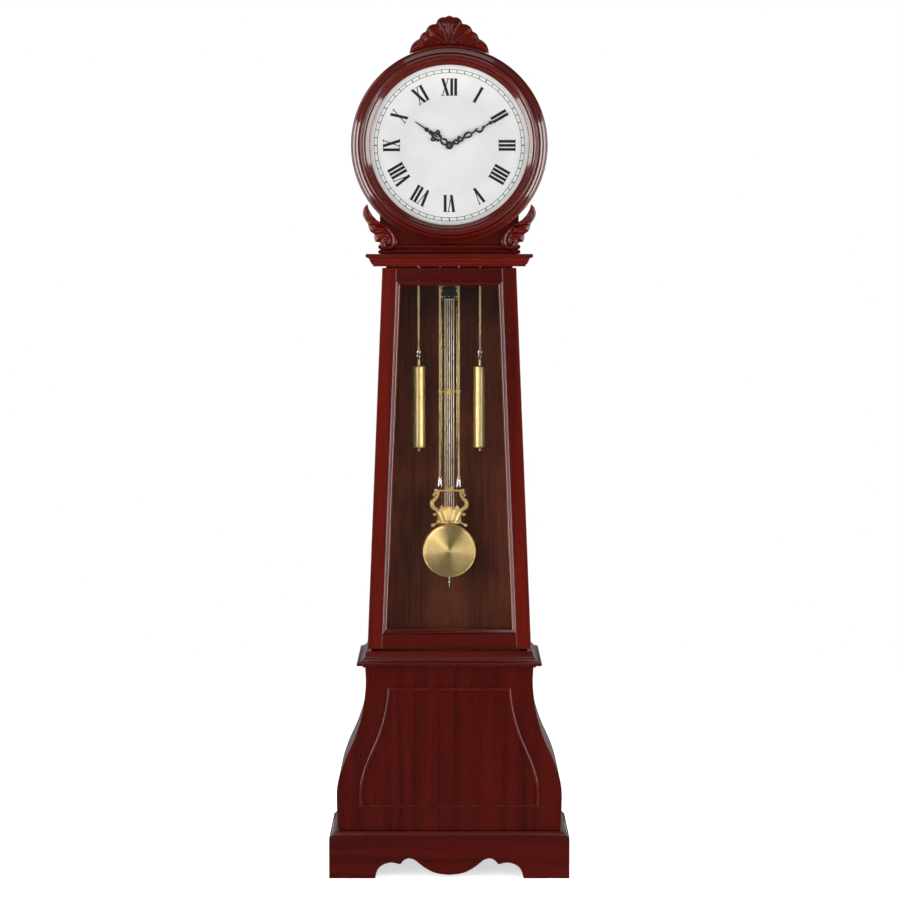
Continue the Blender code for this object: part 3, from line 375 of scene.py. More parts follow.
def smooth_line(points, per_span=6, closed=False):
    """A Catmull-Rom curve through the points, which may be 2-D or 3-D."""
    points = [np.array(point, float) for point in points]
    count = len(points)
    if count < 3:
        spans = np.linspace(0, 1, per_span + 1)
        return [tuple(map(float, points[0] + (points[-1] - points[0]) * t)) for t in spans]
    line = []
    for i in range(count if closed else count - 1):
        b, c = points[i], points[(i + 1) % count]
        a = points[i - 1] if closed or i else 2 * b - c
        d = points[(i + 2) % count] if closed or i + 2 < count else 2 * c - b
        for t in np.arange(per_span) / per_span:
            line.append(0.5 * (2 * b + (c - a) * t + (2 * a - 5 * b + 4 * c - d) * t**2
                               + (3 * b - a - 3 * c + d) * t**3))
    if not closed:
        line.append(points[-1])
    return [tuple(map(float, point)) for point in line]


def profile_line(sections, per_span=4):
    """Joins curved sections of a moulding's profile, with a sharp change between one and the next."""
    line = []
    for section in sections:
        for point in smooth_line(section, per_span if len(section) > 2 else 1):
            if not line or math.dist(point, line[-1]) > 1e-6:
                line.append(point)
    return line


def linked(name, data):
    """A new object of the scene."""
    made = bpy.data.objects.new(name, data)
    bpy.context.scene.collection.objects.link(made)
    return made


def make_piece(name, mesh, styles, nodes=(), smooth=35, body=None, slot=None):
    """Turns a bmesh in mm into an object that rides on a body and hides the CAD nodes it replaces.

    The body is the first node's unless it is given; slot is not used.
    """
    bmesh.ops.recalc_face_normals(mesh, faces=mesh.faces)
    mesh.transform(Matrix.Scale(MM, 4))
    data = bpy.data.meshes.new(name)
    mesh.to_mesh(data)
    mesh.free()
    for style in styles.split():
        data.materials.append(STYLES[style])
    data.shade_smooth()
    data.set_sharp_from_angle(angle=math.radians(smooth))
    made = linked(name, data)
    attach(made, body or frame["nodes"][nodes[0]]["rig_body"])
    if nodes:
        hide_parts(*nodes)
    slot or SLOTS[styles.split()[0]]
    return made


def welded(node):
    """The CAD solid as one connected mesh in metres, its flat faces whole."""
    mesh = bmesh.new()
    mesh.from_mesh(frame["nodes"][node].data)
    bmesh.ops.remove_doubles(mesh, verts=mesh.verts, dist=0.01 * MM)
    bmesh.ops.dissolve_limit(mesh, angle_limit=math.radians(1.0), verts=mesh.verts, edges=mesh.edges)
    return mesh


def refined(node, styles, bevel, segments=2, sharp=28, pick=None):
    """The CAD solid with its edges rounded. pick(face) gives the index of a face's style."""
    mesh = welded(node)
    edges = [e for e in mesh.edges if e.is_manifold and e.calc_face_angle() > math.radians(sharp)]
    bmesh.ops.bevel(mesh, geom=edges, offset=bevel * MM, segments=segments, profile=0.5, affect="EDGES",
                    clamp_overlap=True)
    mesh.transform(Matrix.Scale(1 / MM, 4))
    if pick:
        bmesh.ops.recalc_face_normals(mesh, faces=mesh.faces)
        for face in mesh.faces:
            face.material_index = pick(face)
    slot = frame["nodes"][node].data.materials[0].name.split(".")[0]
    made = make_piece(node + ("_wood" if slot == "cherry_wood" else "_piece"), mesh, styles, (node,), 40,
                      slot=slot)
    made.modifiers.new("Even shading", "WEIGHTED_NORMAL").keep_sharp = True


def join_rings(mesh, rings, loop=False, material=0):
    """Joins rings of points by faces; a ring may be a single point. loop also joins the last to the first."""
    rows = [[mesh.verts.new(point) for point in ring] for ring in rings]
    faces = [] if loop else [row for row in (rows[0], rows[-1]) if len(row) > 1]
    for low, high in zip(rows, rows[1:] + rows[:1] if loop else rows[1:]):
        for i in range(max(len(low), len(high))):
            corners = [row[k % len(row)] for row, k in ((low, i), (low, i + 1), (high, i + 1), (high, i))]
            corners = list(dict.fromkeys(corners))
            if len(corners) > 2:
                faces.append(corners)
    for corners in faces:
        mesh.faces.new(corners).material_index = material


def add_lathe(mesh, profile, origin, axis=(0, 1, 0), steps=48, closed=False, material=0, ripple=None):
    """Turns (radius, distance along the axis) points about an axis.

    ripple=(depth, count) knurls the widest part.
    """
    turn = Vector(axis).to_track_quat("Z", "X").to_matrix()
    widest = max(radius for radius, _ in profile)
    rings = []
    for radius, along in profile:
        ring = []
        for step in range(steps if radius > 0.001 else 1):
            angle = math.tau * step / steps
            reach = radius
            if ripple and radius > 0.85 * widest:
                reach += ripple[0] * math.cos(ripple[1] * angle)
            place = Vector((reach * math.cos(angle), reach * math.sin(angle), along))
            ring.append(Vector(origin) + turn @ place)
        rings.append(ring)
    join_rings(mesh, rings, closed, material)


def turned_piece(name, node, style, profile, axis="Y", from_high=True, smooth=35, **settings):
    """A lathe-turned piece in a CAD node's box; its profile starts at the high or low end of the box."""
    low, high, origin = box(node)
    index = "XYZ".index(axis)
    origin[index] = (high if from_high else low)[index]
    mesh = bmesh.new()
    add_lathe(mesh, profile, origin, [int(i == index) for i in range(3)], **settings)
    make_piece(name, mesh, style, (node,), smooth)


def scaled(profile, radius, along=1):
    """A profile given in shares of a radius and, if asked, of a length."""
    return [(radius * share, along * place) for share, place in profile]


def add_tube(mesh, path, radii, sides=10, closed=False, flatten=1, material=0, up=(0, 1, 0)):
    """A tube along 3-D points. radii is one number or one for each point; flatten scales it along up."""
    path = [Vector(point) for point in path]
    count = len(path)
    if not isinstance(radii, list):
        radii = [radii] * count
    angles = [math.tau * k / sides for k in range(sides)]
    rings = []
    for i, point in enumerate(path):
        ahead = path[(i + 1) % count] if closed or i + 1 < count else point
        behind = path[i - 1] if closed or i else point
        tangent = (ahead - behind).normalized()
        side = tangent.cross(Vector(up)).normalized()
        top = flatten * side.cross(tangent)
        rings.append([point + radii[i] * (side * math.cos(a) + top * math.sin(a)) for a in angles])
    join_rings(mesh, rings, closed, material)


def add_ball(mesh, centre, radius, flatten):
    """A ball, squeezed along y."""
    matrix = Matrix.Translation(centre) @ Matrix.Diagonal((1, flatten, 1, 1))
    bmesh.ops.create_uvsphere(mesh, u_segments=12, v_segments=8, radius=radius, matrix=matrix)


def add_block(mesh, low, high, bevel):
    """A box with rounded edges between two corners."""
    low, high = Vector(low), Vector(high)
    matrix = Matrix.Translation((low + high) / 2) @ Matrix.Diagonal((*(high - low), 1))
    made = bmesh.ops.create_cube(mesh, size=1, matrix=matrix)
    edges = list({edge for vert in made["verts"] for edge in vert.link_edges})
    bmesh.ops.bevel(mesh, geom=edges, offset=bevel, segments=2, profile=0.5, affect="EDGES",
                    clamp_overlap=True)


def add_ribbon(mesh, path, widths, back, front, chamfer=0.0, material=0):
    """A flat strip of half widths along (x, z) points, between two depths, its front edges chamfered."""
    path = [Vector(point) for point in path]
    if not isinstance(widths, list):
        widths = [widths] * len(path)
    rings = []
    for i, point in enumerate(path):
        tangent = path[min(i + 1, len(path) - 1)] - path[max(i - 1, 0)]
        side = Vector((tangent.y, -tangent.x)).normalized()
        width = max(widths[i], 0.01)
        shape = [(width, front), (width, back)]
        if chamfer:
            step = chamfer if front < back else -chamfer
            shape = [(width - min(chamfer, 0.45 * width), front), (width, front + step), (width, back)]
        shape = [(-out, y) for out, y in shape[::-1]] + shape
        rings.append([(point.x + side.x * out, y, point.y + side.y * out) for out, y in shape])
    join_rings(mesh, rings, material=material)


def tapered(line, start, middle, end):
    """A width for each point of a line: from start through middle to end."""
    widths = []
    for t in np.linspace(0, 1, len(line)):
        ends = start + (end - start) * t
        widths.append(float(ends + (middle - ends) * math.sin(math.pi * t)))
    return widths


def add_screw(mesh, centre, radius, height, turn):
    """A slotted dome-head screw in a back: a base disc and two halves of the head with the slot between."""
    spin = Vector((0, 1, 0)).to_track_quat("Z", "X").to_matrix() @ Matrix.Rotation(turn, 3, "Z")
    centre = Vector(centre)
    base = [(0, 0), (radius, 0), (radius * 0.97, 0.35 * height), (0, 0.36 * height)]
    add_lathe(mesh, base, centre, steps=24)
    for half in (1, -1):
        rings = []
        for share, rise in ((0.97, 0.35), (0.90, 0.66), (0.62, 0.92), (0.30, 1.0)):
            reach = radius * share
            start = math.asin(min(1.0, 0.16 / share))
            arc = [start + (math.pi - 2 * start) * k / 12 for k in range(13)]
            points = [(reach * math.cos(a), half * reach * math.sin(a), rise * height) for a in arc]
            rings.append([centre + spin @ Vector(point) for point in points])
        join_rings(mesh, rings)


# ---------------------------------------------------------------- carved reliefs


def front_outline(node):
    """The (x, z) corners of a CAD board's front face, in order."""
    mesh = welded(node)
    front = min(vert.co.y for vert in mesh.verts)
    level = front + 0.01 * MM
    faces = {f for f in mesh.faces if f.normal.y < -0.99 and f.calc_center_median().y < level}
    onward = {}
    for face in faces:
        for loop in face.loops:
            if not (set(loop.edge.link_faces) - {face}) & faces:
                onward[loop.vert] = loop.link_loop_next.vert
    start = next(iter(onward))
    line, vert = [], start
    while True:
        line.append((vert.co.x / MM, vert.co.z / MM))
        vert = onward[vert]
        if vert is start:
            break
    mesh.free()
    return line


def resampled(line, spacing):
    """The same closed line with points at even steps, keeping its corners."""
    made = []
    for a, b in zip(line, line[1:] + line[:1]):
        steps = max(1, round(math.dist(a, b) / spacing))
        made += [(a[0] + (b[0] - a[0]) * k / steps, a[1] + (b[1] - a[1]) * k / steps) for k in range(steps)]
    return made


def line_distance(points, line):
    """For each point, its distance to a polyline and how far along it the nearest place lies, 0 to 1."""
    best = np.full(len(points), 1e9)
    where = np.zeros(len(points))
    spans = list(zip(line, line[1:]))
    for k, (a, b) in enumerate(spans):
        a = np.array(a)
        step = np.array(b) - a
        t = np.clip(((points - a) @ step) / max(step @ step, 1e-12), 0, 1)
        distance = np.linalg.norm(points - (a + t[:, None] * step), axis=1)
        nearer = distance < best
        best[nearer] = distance[nearer]
        where[nearer] = (k + t[nearer]) / len(spans)
    return best, where


def inside(points, outline):
    """Which points lie in a closed outline."""
    x, z = points[:, 0], points[:, 1]
    found = np.zeros(len(points), bool)
    for (ax, az), (bx, bz) in zip(outline, outline[1:] + outline[:1]):
        crosses = (az > z) != (bz > z)
        found ^= crosses & (x < ax + (z - az) * (bx - ax) / (bz - az + 1e-30))
    return found


def relief_mesh(outline, strokes, back, edge, crown, rise, most, spacing, back_at=None):
    """A carving: an outline filled with a fine grid whose front is pillowed, then ridged by strokes.

    A stroke is (points, height, width start, width end); back_at(x, z) moves the back plane.
    """
    outline = resampled(outline, spacing)
    count = len(outline)
    xs, zs = zip(*outline)
    columns = np.arange(min(xs), max(xs), spacing)
    rows = np.arange(min(zs), max(zs), spacing)
    grid = np.array([(x + (spacing / 2 if k % 2 else 0), z) for k, z in enumerate(rows) for x in columns])
    grid = grid[inside(grid, outline)]
    away, _ = line_distance(grid, outline + outline[:1])
    grid = grid[away > 0.6 * spacing]
    plan = [Vector(point) for point in outline] + [Vector(point) for point in grid]
    flat, _, triangles, origins, *_ = delaunay_2d_cdt(plan, [], [list(range(count))], 1, 1e-4)
    points = np.array([tuple(point) for point in flat])
    away, _ = line_distance(points, outline + outline[:1])
    height = edge + (crown - edge) * (1 - np.exp(-((away / rise) ** 1.3)))
    for line, amount, width_start, width_end in strokes:
        distance, where = line_distance(points, smooth_line(line, 8))
        width = width_start + (width_end - width_start) * where
        fade = np.clip(6 * np.minimum(where, 1 - where) + 0.25, 0, 1) * np.clip(away / 0.8, 0.25, 1)
        height += amount * fade * np.exp(-((distance / width) ** 2))
    height = np.clip(height, 0.4 * edge, most)
    mesh = bmesh.new()
    fronts = [mesh.verts.new((x, back - h, z)) for (x, z), h in zip(points, height)]
    backs = [mesh.verts.new((x, back_at(x, z) if back_at else back, z)) for x, z in points]
    for triangle in triangles:
        mesh.faces.new([fronts[i] for i in triangle])
        mesh.faces.new([backs[i] for i in triangle][::-1])
    place_of = {source: index for index, sources in enumerate(origins) for source in sources}
    rim = [place_of[i] for i in range(count) if i in place_of]
    for a, b in zip(rim, rim[1:] + rim[:1]):
        if a != b:
            mesh.faces.new((fronts[a], fronts[b], backs[b], backs[a]))
    return mesh


def strokes_at(rows, x, z, signs=(1, -1)):
    """The strokes moved to (x, z). Those off the centre line are made once for each sign of x."""
    made = []
    for points, *sizes in rows:
        for sign in signs if any(across for across, _ in points) else (1,):
            made.append(([(x + sign * across, z + up) for across, up in points], *sizes))
    return made


# ---------------------------------------------------------------- case and head

MOULDINGS = [  # (board, reach of its nose, style, sections of (out, up)), mm
    ("plinth_top_board", 10.5, "across deep", [
        [(10.5, 0), (10.5, 2.1)], [(10.0, 2.7), (6.8, 4.1), (4.6, 5.9), (3.6, 8.1)],
        [(2.2, 8.9), (2.0, 10.9)]]),
    ("waist_board", 17.5, "across deep", [
        [(5.0, 0), (5.0, 3.9)], [(14.8, 4.5), (16.8, 5.9), (17.5, 8.4), (16.8, 10.9), (14.8, 12.3)],
        [(10.5, 12.7), (6.8, 14.9), (4.0, 17.4), (2.6, 20.1)],
        [(0, 21.9), (-0.8, 24.9), (-1.5, 27.0), (-3.0, 33.6)]]),
    ("cornice_board", 15.0, "head deep", [
        [(0, 0), (0, 3.6)], [(2.0, 4.3), (3.6, 6.1), (4.2, 8.9)],
        [(6.2, 10.1), (6.4, 11.6), (7.0, 14.3), (9.8, 17.3), (11.8, 18.3)],
        [(14.2, 18.9), (15.0, 19.7), (15.0, 24.3), (14.2, 26.1), (12.5, 26.3)]]),
    ("neck_base_board", 3.5, "head deep", [
        [(0, 0.1), (2.4, 0.9), (3.5, 4.2), (2.4, 7.5), (0, 8.2)], [(-1.0, 8.3), (-1.0, 9.9)],
        [(0, 10.1), (2.4, 11.2), (3.5, 14.7), (2.4, 18.2), (0, 19.3)]]),
]
ROUNDED = [  # boards and fittings that keep the CAD's shape: (nodes, style, edge radius in mm, its segments)
    ("plinth_rear_rail", "across", 1.0, 2),
    ("plinth_side_left plinth_side_right", "deep", 1.2, 3),
    ("base_side_left base_side_right", "upright", 0.6, 2),
    ("trunk_side_left trunk_side_right", "upright", 1.0, 3),
    ("neck_side_left neck_side_right", "upright", 0.8, 2),
    ("base_front_panel", "panel", 1.0, 3),
    ("base_back_panel head_back_board head_back_hatch", "dark", 0.6, 2),
    ("head_front_board", "head", 0.8, 2),
    ("hatch_hinge_fixed_leaf hatch_hinge_moving_leaf", "hinge", 0.25, 2),
    ("movement_housing pendulum_drive", "plastic", 1.2, 3),
    ("door_stile_left door_stile_right", "stile", 0.9, 3),
    ("door_rail_top door_rail_bottom", "across", 0.9, 3),
    ("door_magnet", "plastic", 0.6, 2),
    ("door_strike_plate", "nickel", 0.25, 2),
    ("door_hinge_upper_case_leaf door_hinge_upper_door_leaf", "hinge", 0.25, 2),
    ("door_hinge_lower_case_leaf door_hinge_lower_door_leaf", "hinge", 0.25, 2),
]


def make_moulding(node, nose, styles, sections):
    """A board whose moulded edge runs round its front and two ends."""
    low, high, _ = box(node)
    half, front, rear = high.x - nose, low.y + nose, high.y
    mesh = bmesh.new()
    rings = []
    for out, up in profile_line(sections):
        x, y, z = half + out, front - out, low.z + up
        rings.append([(-x, rear, z), (-x, y, z), (x, y, z), (x, rear, z)])
    join_rings(mesh, rings)
    for face in mesh.faces:
        on_end = all(abs(abs(vert.co.x) - half) < nose + 4 for vert in face.verts)
        face.material_index = on_end and len({vert.co.x > 0 for vert in face.verts}) == 1
    make_piece(node + "_moulding", mesh, styles, (node,))


def make_case():
    for row in MOULDINGS:
        make_moulding(*row)
    for nodes, style, bevel, segments in ROUNDED:
        for node in nodes.split():
            refined(node, style, bevel, segments)
    refined("plinth_front", "across deep", 1.2, 3, pick=lambda face: int(abs(face.normal.x) > 0.7))
    low, _, _ = box("base_panel_bead")
    crown, foot = low.y + 1.5, low.z + 6
    # painted shade: faces more than 1.5 mm behind the bead's crown and those of its bottom run take the dark
    # groove style
    refined("base_panel_bead", "stile groove", 0.9, 3, 50,
            lambda face: int(face.calc_center_median().y > crown or face.calc_center_median().z < foot))
    refined("trunk_back_panel", "veneer dark", 0.6, pick=lambda face: int(face.normal.y > -0.5))
    refined("drum_shell", "drum", 0.6, sharp=40)
    for node in ("dial_glass", "door_glass"):
        frame["nodes"][node].data.materials[0] = STYLES["glass"]


RING_PROFILE = [  # (in from the outer edge, forward of the back), mm
    [(0, 0), (0, 8.2)], [(0.2, 9.2), (1.4, 10.4), (3.4, 10.9)], [(3.6, 10.2), (6.0, 11.7), (8.2, 13.5)],
    [(8.4, 15.7), (9.4, 18.2), (12.0, 20.8), (15.0, 23.0), (16.2, 23.3), (17.0, 22.3)],
    [(17.1, 24.2), (18.6, 29.7), (20.6, 32.7), (22.6, 33.5), (25.0, 32.3), (28.0, 30.1), (29.4, 27.6),
     (29.9, 23.2)],
    [(30.2, 24.8), (31.2, 25.6), (32.9, 24.4), (34.6, 22.9)],
    [(34.8, 20.7), (37.0, 19.0), (39.2, 17.0), (39.9, 15.0), (39.9, 12.3)],
    [(32.9, 12.2), (32.9, 0)]]
RING_GROOVE_SHADE = [  # painted shade: the dark bands in the ring's hollows, in from the outer edge, mm
    (3.3, 3.7), (8.0, 8.8), (16.7, 18.4), (29.3, 30.4), (34.5, 35.0), (39.5, 45.0)]


def make_bezel():
    _, high, _ = box("bezel_ring")
    outer = high.x - DIAL.x
    mesh = bmesh.new()
    profile = [(outer - inward, -forward) for inward, forward in profile_line(RING_PROFILE)]
    add_lathe(mesh, profile, on_dial(high.y), steps=224, closed=True)
    for face in mesh.faces:
        middle = face.calc_center_median()
        inward = outer - math.hypot(middle.x - DIAL.x, middle.z - DIAL.z)
        # faces in these bands take the darker copy of the ring's wood: painted shade in its grooves
        face.material_index = any(start < inward < end for start, end in RING_GROOVE_SHADE)
    make_piece("bezel_moulding", mesh, "ring glaze", ("bezel_ring",), 30)


CREST_FOOT = 210.0
CREST_STROKES = [  # (points (x, z above the foot), height, width, end width), right half, mm
    ([(0, 7.4), (0, 30), (0, 50)], 3.5, 4.0, 9.0),
    ([(2.6, 4.5), (5.7, 15.8), (10.6, 30.5), (21.7, 47.4)], 4.4, 1.1, 1.5),
    ([(4.2, 4.0), (6.6, 18.0), (7.6, 32.0), (7.0, 50.0)], 2.6, 0.9, 1.2),
    ([(10.1, 4.0), (19.4, 14.6), (31.2, 24.1), (46.9, 35.0)], 4.4, 1.1, 1.5),
    ([(23.9, 3.5), (33.5, 10.7), (47.2, 16.8), (61.9, 19.0)], 3.6, 1.1, 1.4),
    ([(40, 2.5), (52, 5.5), (63.1, 7.4), (77.8, 3.1)], 2.8, 1.0, 1.3),
    ([(22.7, 2.3), (34, 1.4), (47, 0.2), (59, -2.0)], 2.6, 1.2, 1.2),
    ([(4.0, 2.6), (13, 2.9), (22.7, 2.3)], 3.0, 1.6, 1.6),
]
SCROLL_STROKES = [  # for the right scroll: (x, z) from the clock's centre line and the neck's foot, mm
    ([(171.5, 78.7), (168, 65.7), (160, 55.7), (149, 47.2), (137, 39.2), (126, 30.7), (118, 19.7),
      (115.5, 7.7), (119, -3.3), (127, -8.8), (135.5, -6.3), (139, 1.2), (136, 7.7), (129.5, 9.2)],
     3.8, 1.6, 2.6),
    ([(150, 42.2), (139, 34.7), (130, 26.7), (123.5, 17.7), (121.5, 8.7), (124, 0.7), (129, -2.3), (133, 0.7),
      (132.5, 4.7)], -3.0, 1.4, 1.2),
    ([(127.5, 3.2), (129, 2.4)], 3.0, 3.2, 3.2),
    ([(125.4, 31.6), (139.9, 37.4), (153.6, 40.9), (170.5, 41.7)], -2.6, 1.3, 1.3),
    ([(126.3, 22.8), (136.3, 24.8), (146.3, 23.8), (158.2, 21.4)], -2.6, 1.3, 1.3),
    ([(134.5, 34.5), (149, 33.0), (165.4, 31.6)], 2.4, 1.6, 2.2),
    ([(130.9, 20.0), (142.7, 16.5), (151.7, 11.1)], 2.4, 1.6, 2.0),
    ([(174.4, 75.5), (176.3, 63.8), (169, 51.1), (154.5, 41.4)], -2.2, 1.4, 1.4),
]
BEADS_END = 156.0  # the neck's beads reach so far out, and the scrolls are rebated round them
SCROLL_REBATE = 4.2


def make_carvings():
    low, high, _ = box("crest_shell")
    mesh = relief_mesh(front_outline("crest_shell"), strokes_at(CREST_STROKES, DIAL.x, DIAL.z + CREST_FOOT),
                       high.y, 10, 15, 7, high.y - low.y, 1.0)
    make_piece("crest_carving", mesh, "carved", ("crest_shell",), 50)
    neck_foot = box("head_front_board")[0].z
    for side, sign in (("right", 1), ("left", -1)):
        node = "scroll_" + side
        low, high, _ = box(node)
        rear = high.y

        def back_at(x, z):
            return rear - SCROLL_REBATE if abs(x) < BEADS_END and z < neck_foot + 1 else rear

        strokes = strokes_at(SCROLL_STROKES, 0, neck_foot, (sign,))
        mesh = relief_mesh(front_outline(node), strokes, rear, 9, 15, 6, rear - low.y, 0.9, back_at)
        make_piece(node + "_carving", mesh, "carved", (node,), 50)


# ---------------------------------------------------------------- dial and movement

TRACK_RINGS = ((158.5, 159.5), (151.5, 152.5))
TICK = (152.0, 159.0)
NUMERALS = "XII I II III IIII V VI VII VIII IX X XI".split()
NUMERAL_FOOT = 104.0
THICK, THIN, SERIF = 3.0, 0.95, 0.75
GLYPHS = {  # letter: (width, strokes from (x, z) to (x, z) with a half width), mm
    "I": (8.4, [(4.2, 0, 4.2, 36, THICK), (0.3, 0.75, 8.1, 0.75, SERIF), (0.3, 35.25, 8.1, 35.25, SERIF)]),
    "V": (17.5, [(8.75, 0, 3.6, 36, THICK), (8.75, 0, 14.9, 36, THIN), (0.1, 35.25, 7.5, 35.25, SERIF),
                 (11.6, 35.25, 17.4, 35.25, SERIF)]),
    "X": (18.5, [(3.6, 36, 14.9, 0, THICK), (15.5, 36, 3.0, 0, THIN), (0.1, 0.75, 7.3, 0.75, SERIF),
                 (11.2, 0.75, 18.4, 0.75, SERIF), (0.1, 35.25, 7.3, 35.25, SERIF),
                 (11.2, 35.25, 18.4, 35.25, SERIF)]),
}


def dial_point(angle, out, right=0.0):
    """The (x, z) of a place out from the dial's centre, at an angle from XII, and right of that line."""
    across, up = math.sin(angle), math.cos(angle)
    return (DIAL.x + out * across + right * up, DIAL.z + out * up - right * across)


def make_dial():
    """The enamelled plate and, as a thin raised print, its minute track and numerals."""
    radius, thick, _ = size("dial_plate")
    hole, lip = 5.0, 0.4
    profile = [(hole, 0), (radius, 0), (radius, lip - thick), (radius - lip, -thick), (hole, -thick)]
    turned_piece("dial_enamelled", "dial_plate", "enamel", profile, steps=160, closed=True)
    face = box("dial_plate")[0].y
    back, front = face - 0.01, face - 0.06
    mesh = bmesh.new()
    for inner, outer in TRACK_RINGS:
        line = [(inner, 0), (outer, 0), (outer, front - back), (inner, front - back)]
        add_lathe(mesh, line, on_dial(back), steps=240, closed=True)
    for minute in range(60):
        angle = math.tau * minute / 60
        half = 1.1 if minute % 5 == 0 else 0.75
        add_ribbon(mesh, [dial_point(angle, out) for out in TICK], half, back, front)
    for hour, text in enumerate(NUMERALS):
        angle = math.tau * hour / 12
        at = -sum(GLYPHS[letter][0] for letter in text) / 2
        layer = 0
        for letter in text:
            width, strokes = GLYPHS[letter]
            for x, z, to_x, to_z, half in strokes:
                ends = [dial_point(angle, NUMERAL_FOOT + b, at + a) for a, b in ((x, z), (to_x, to_z))]
                add_ribbon(mesh, ends, half, back, front - 0.004 * (layer % 3))
                layer += 1
            at += width
    make_piece("dial_print", mesh, "ink", body="case")


def both_sides(strands):
    """Strands of a hand, each with a mirrored copy behind it unless it lies on the hand's middle line."""
    for points, *widths in strands:
        yield points, *widths
        if any(across for _, across in points):
            yield [(along, -across) for along, across in points], *widths


HAND_THICKNESS = 0.8
HAND_WEIGHT = 1.5
HOUR_STRANDS = list(both_sides([  # (points (along, right), half width at start, middle, end), mm
    ([(6.5, 2.5), (12, 5.4), (17, 4.4), (21.5, 1.2)], 1.1, 1.5, 0.9),
    ([(20.5, 0.8), (27, 4.4), (33, 5.8), (40, 4.2), (46.5, 0.6)], 1.0, 1.7, 0.9),
    ([(30, 5.4), (32, 9.5), (35.5, 11.8), (38.5, 10.4), (37.4, 7.6)], 1.2, 1.4, 0.9),
    ([(24, 3.4), (25, 6.4), (27.5, 7.6)], 0.9, 1.0, 0.6),
    ([(29, 0), (34, 0), (44, 0)], 0.5, 1.2, 0.6),
    ([(45, 0), (48, 0), (51, 0)], 1.2, 3.4, 1.2),
    ([(51, 0), (58.5, 0), (63, 0)], 1.0, 3.0, 0.8),
    ([(54.5, 0.8), (57.5, 3.4), (58.2, 5.0)], 0.9, 0.9, 0.4),
    ([(62, 0), (75, 0), (88.2, 0)], 1.1, 0.9, 0.25)]))
MINUTE_STRANDS = [
    ([(6, 0), (11.6, 0), (14, 0)], 1.2, 3.0, 1.4),
    ([(12, 1), (15.8, 5.2), (20.5, 3.4), (24.8, -5.2), (27.5, -4.4), (30.5, 0)], 1.0, 1.5, 1.2),
    ([(12, -1), (16.5, -3.6), (20.5, 0.6), (25.5, 4.0), (30.5, 3.0), (34, 0.5)], 1.0, 1.5, 1.2),
    ([(33, 0), (38, -2.6), (43.5, -5.0), (49.4, -3.8), (53.2, 0.4)], 1.0, 1.6, 1.1),
    ([(33, 0), (39.5, 2.6), (46.5, 4.9), (50.5, 3.8), (54, 0.8)], 1.0, 1.4, 1.0),
    ([(53, 0.8), (58, 0.4), (62.6, -0.6), (66, 2.0), (68.4, 5.2), (72.5, 6.2), (76.4, 5.2), (79, 2.6),
      (81.8, 1.4), (86, 0.9), (91.2, 0.4)], 1.2, 1.5, 1.0),
    ([(62.6, -0.6), (66, -2.6), (70.5, -2.4)], 1.1, 1.1, 0.5),
    ([(68.4, 5.2), (68.8, 7.0), (70.6, 8.0)], 1.1, 1.0, 0.4),
    ([(78, 3.4), (80.5, -0.4), (83.4, -1.6)], 1.0, 1.0, 0.4),
    ([(90, 0.3), (94.5, 0), (98, 0)], 1.0, 1.3, 1.0),
    ([(95, 0), (98.6, 0), (103, 0)], 0.9, 2.6, 1.0),
    ([(102, 0), (122, 0), (143.2, 0)], 1.2, 0.95, 0.25)]


def make_hand(node, angle, strands, hub, stem, steps):
    """A pierced hand, its hub ring of two radii, and the stem behind it, (radius, y from the rear end)."""
    inner, outer = hub
    low, high, _ = box(node)
    front, back = low.y, low.y + HAND_THICKNESS
    mesh = bmesh.new()
    for row, (points, *sizes) in enumerate(strands):
        line = smooth_line(points, 7)
        path = [dial_point(math.radians(angle), along, right) for along, right in line]
        widths = [HAND_WEIGHT * width for width in tapered(line, *sizes)]
        add_ribbon(mesh, path, widths, back, front + 0.012 * (row % 4), 0.22)
    hub = [(inner, 0), (outer, 0), (outer, 0.2 - HAND_THICKNESS), (outer - 0.3, -HAND_THICKNESS),
           (inner, -HAND_THICKNESS)]
    add_lathe(mesh, hub, on_dial(back), closed=True)
    add_lathe(mesh, stem, on_dial(high.y), steps=steps, closed=stem[0][0] > 0)
    make_piece(node + "_cut", mesh, "black", (node,), 30)


def make_hands():
    """Serpentine black hands, the hour hand on a tube and the minute hand on an arbor, and their grey nut."""
    tube, arbor = (box(node)[0].y - box(node)[1].y for node in ("hour_hand", "minute_hand"))
    stem = [(2.55, tube), (3.3, tube), (3.3, 0), (2.55, 0)]
    make_hand("hour_hand", 304.5, HOUR_STRANDS, (2.6, 8.6), stem, 40)
    stem = [(0, arbor), (2.0, arbor), (2.0, -0.3), (1.7, 0), (0, 0)]
    make_hand("minute_hand", 61.5, MINUTE_STRANDS, (0.6, 7.8), stem, 32)
    wide, tall, _ = size("hand_nut")
    profile = [(0, 0), (wide, 0), (wide, -0.55 * tall)]
    profile += smooth_line([(0.93 * wide, -0.72 * tall), (0.6 * wide, -0.93 * tall), (0, -tall)], 4)
    turned_piece("hand_nut_domed", "hand_nut", "nut", profile, smooth=30, steps=36, ripple=(0.06, 18))


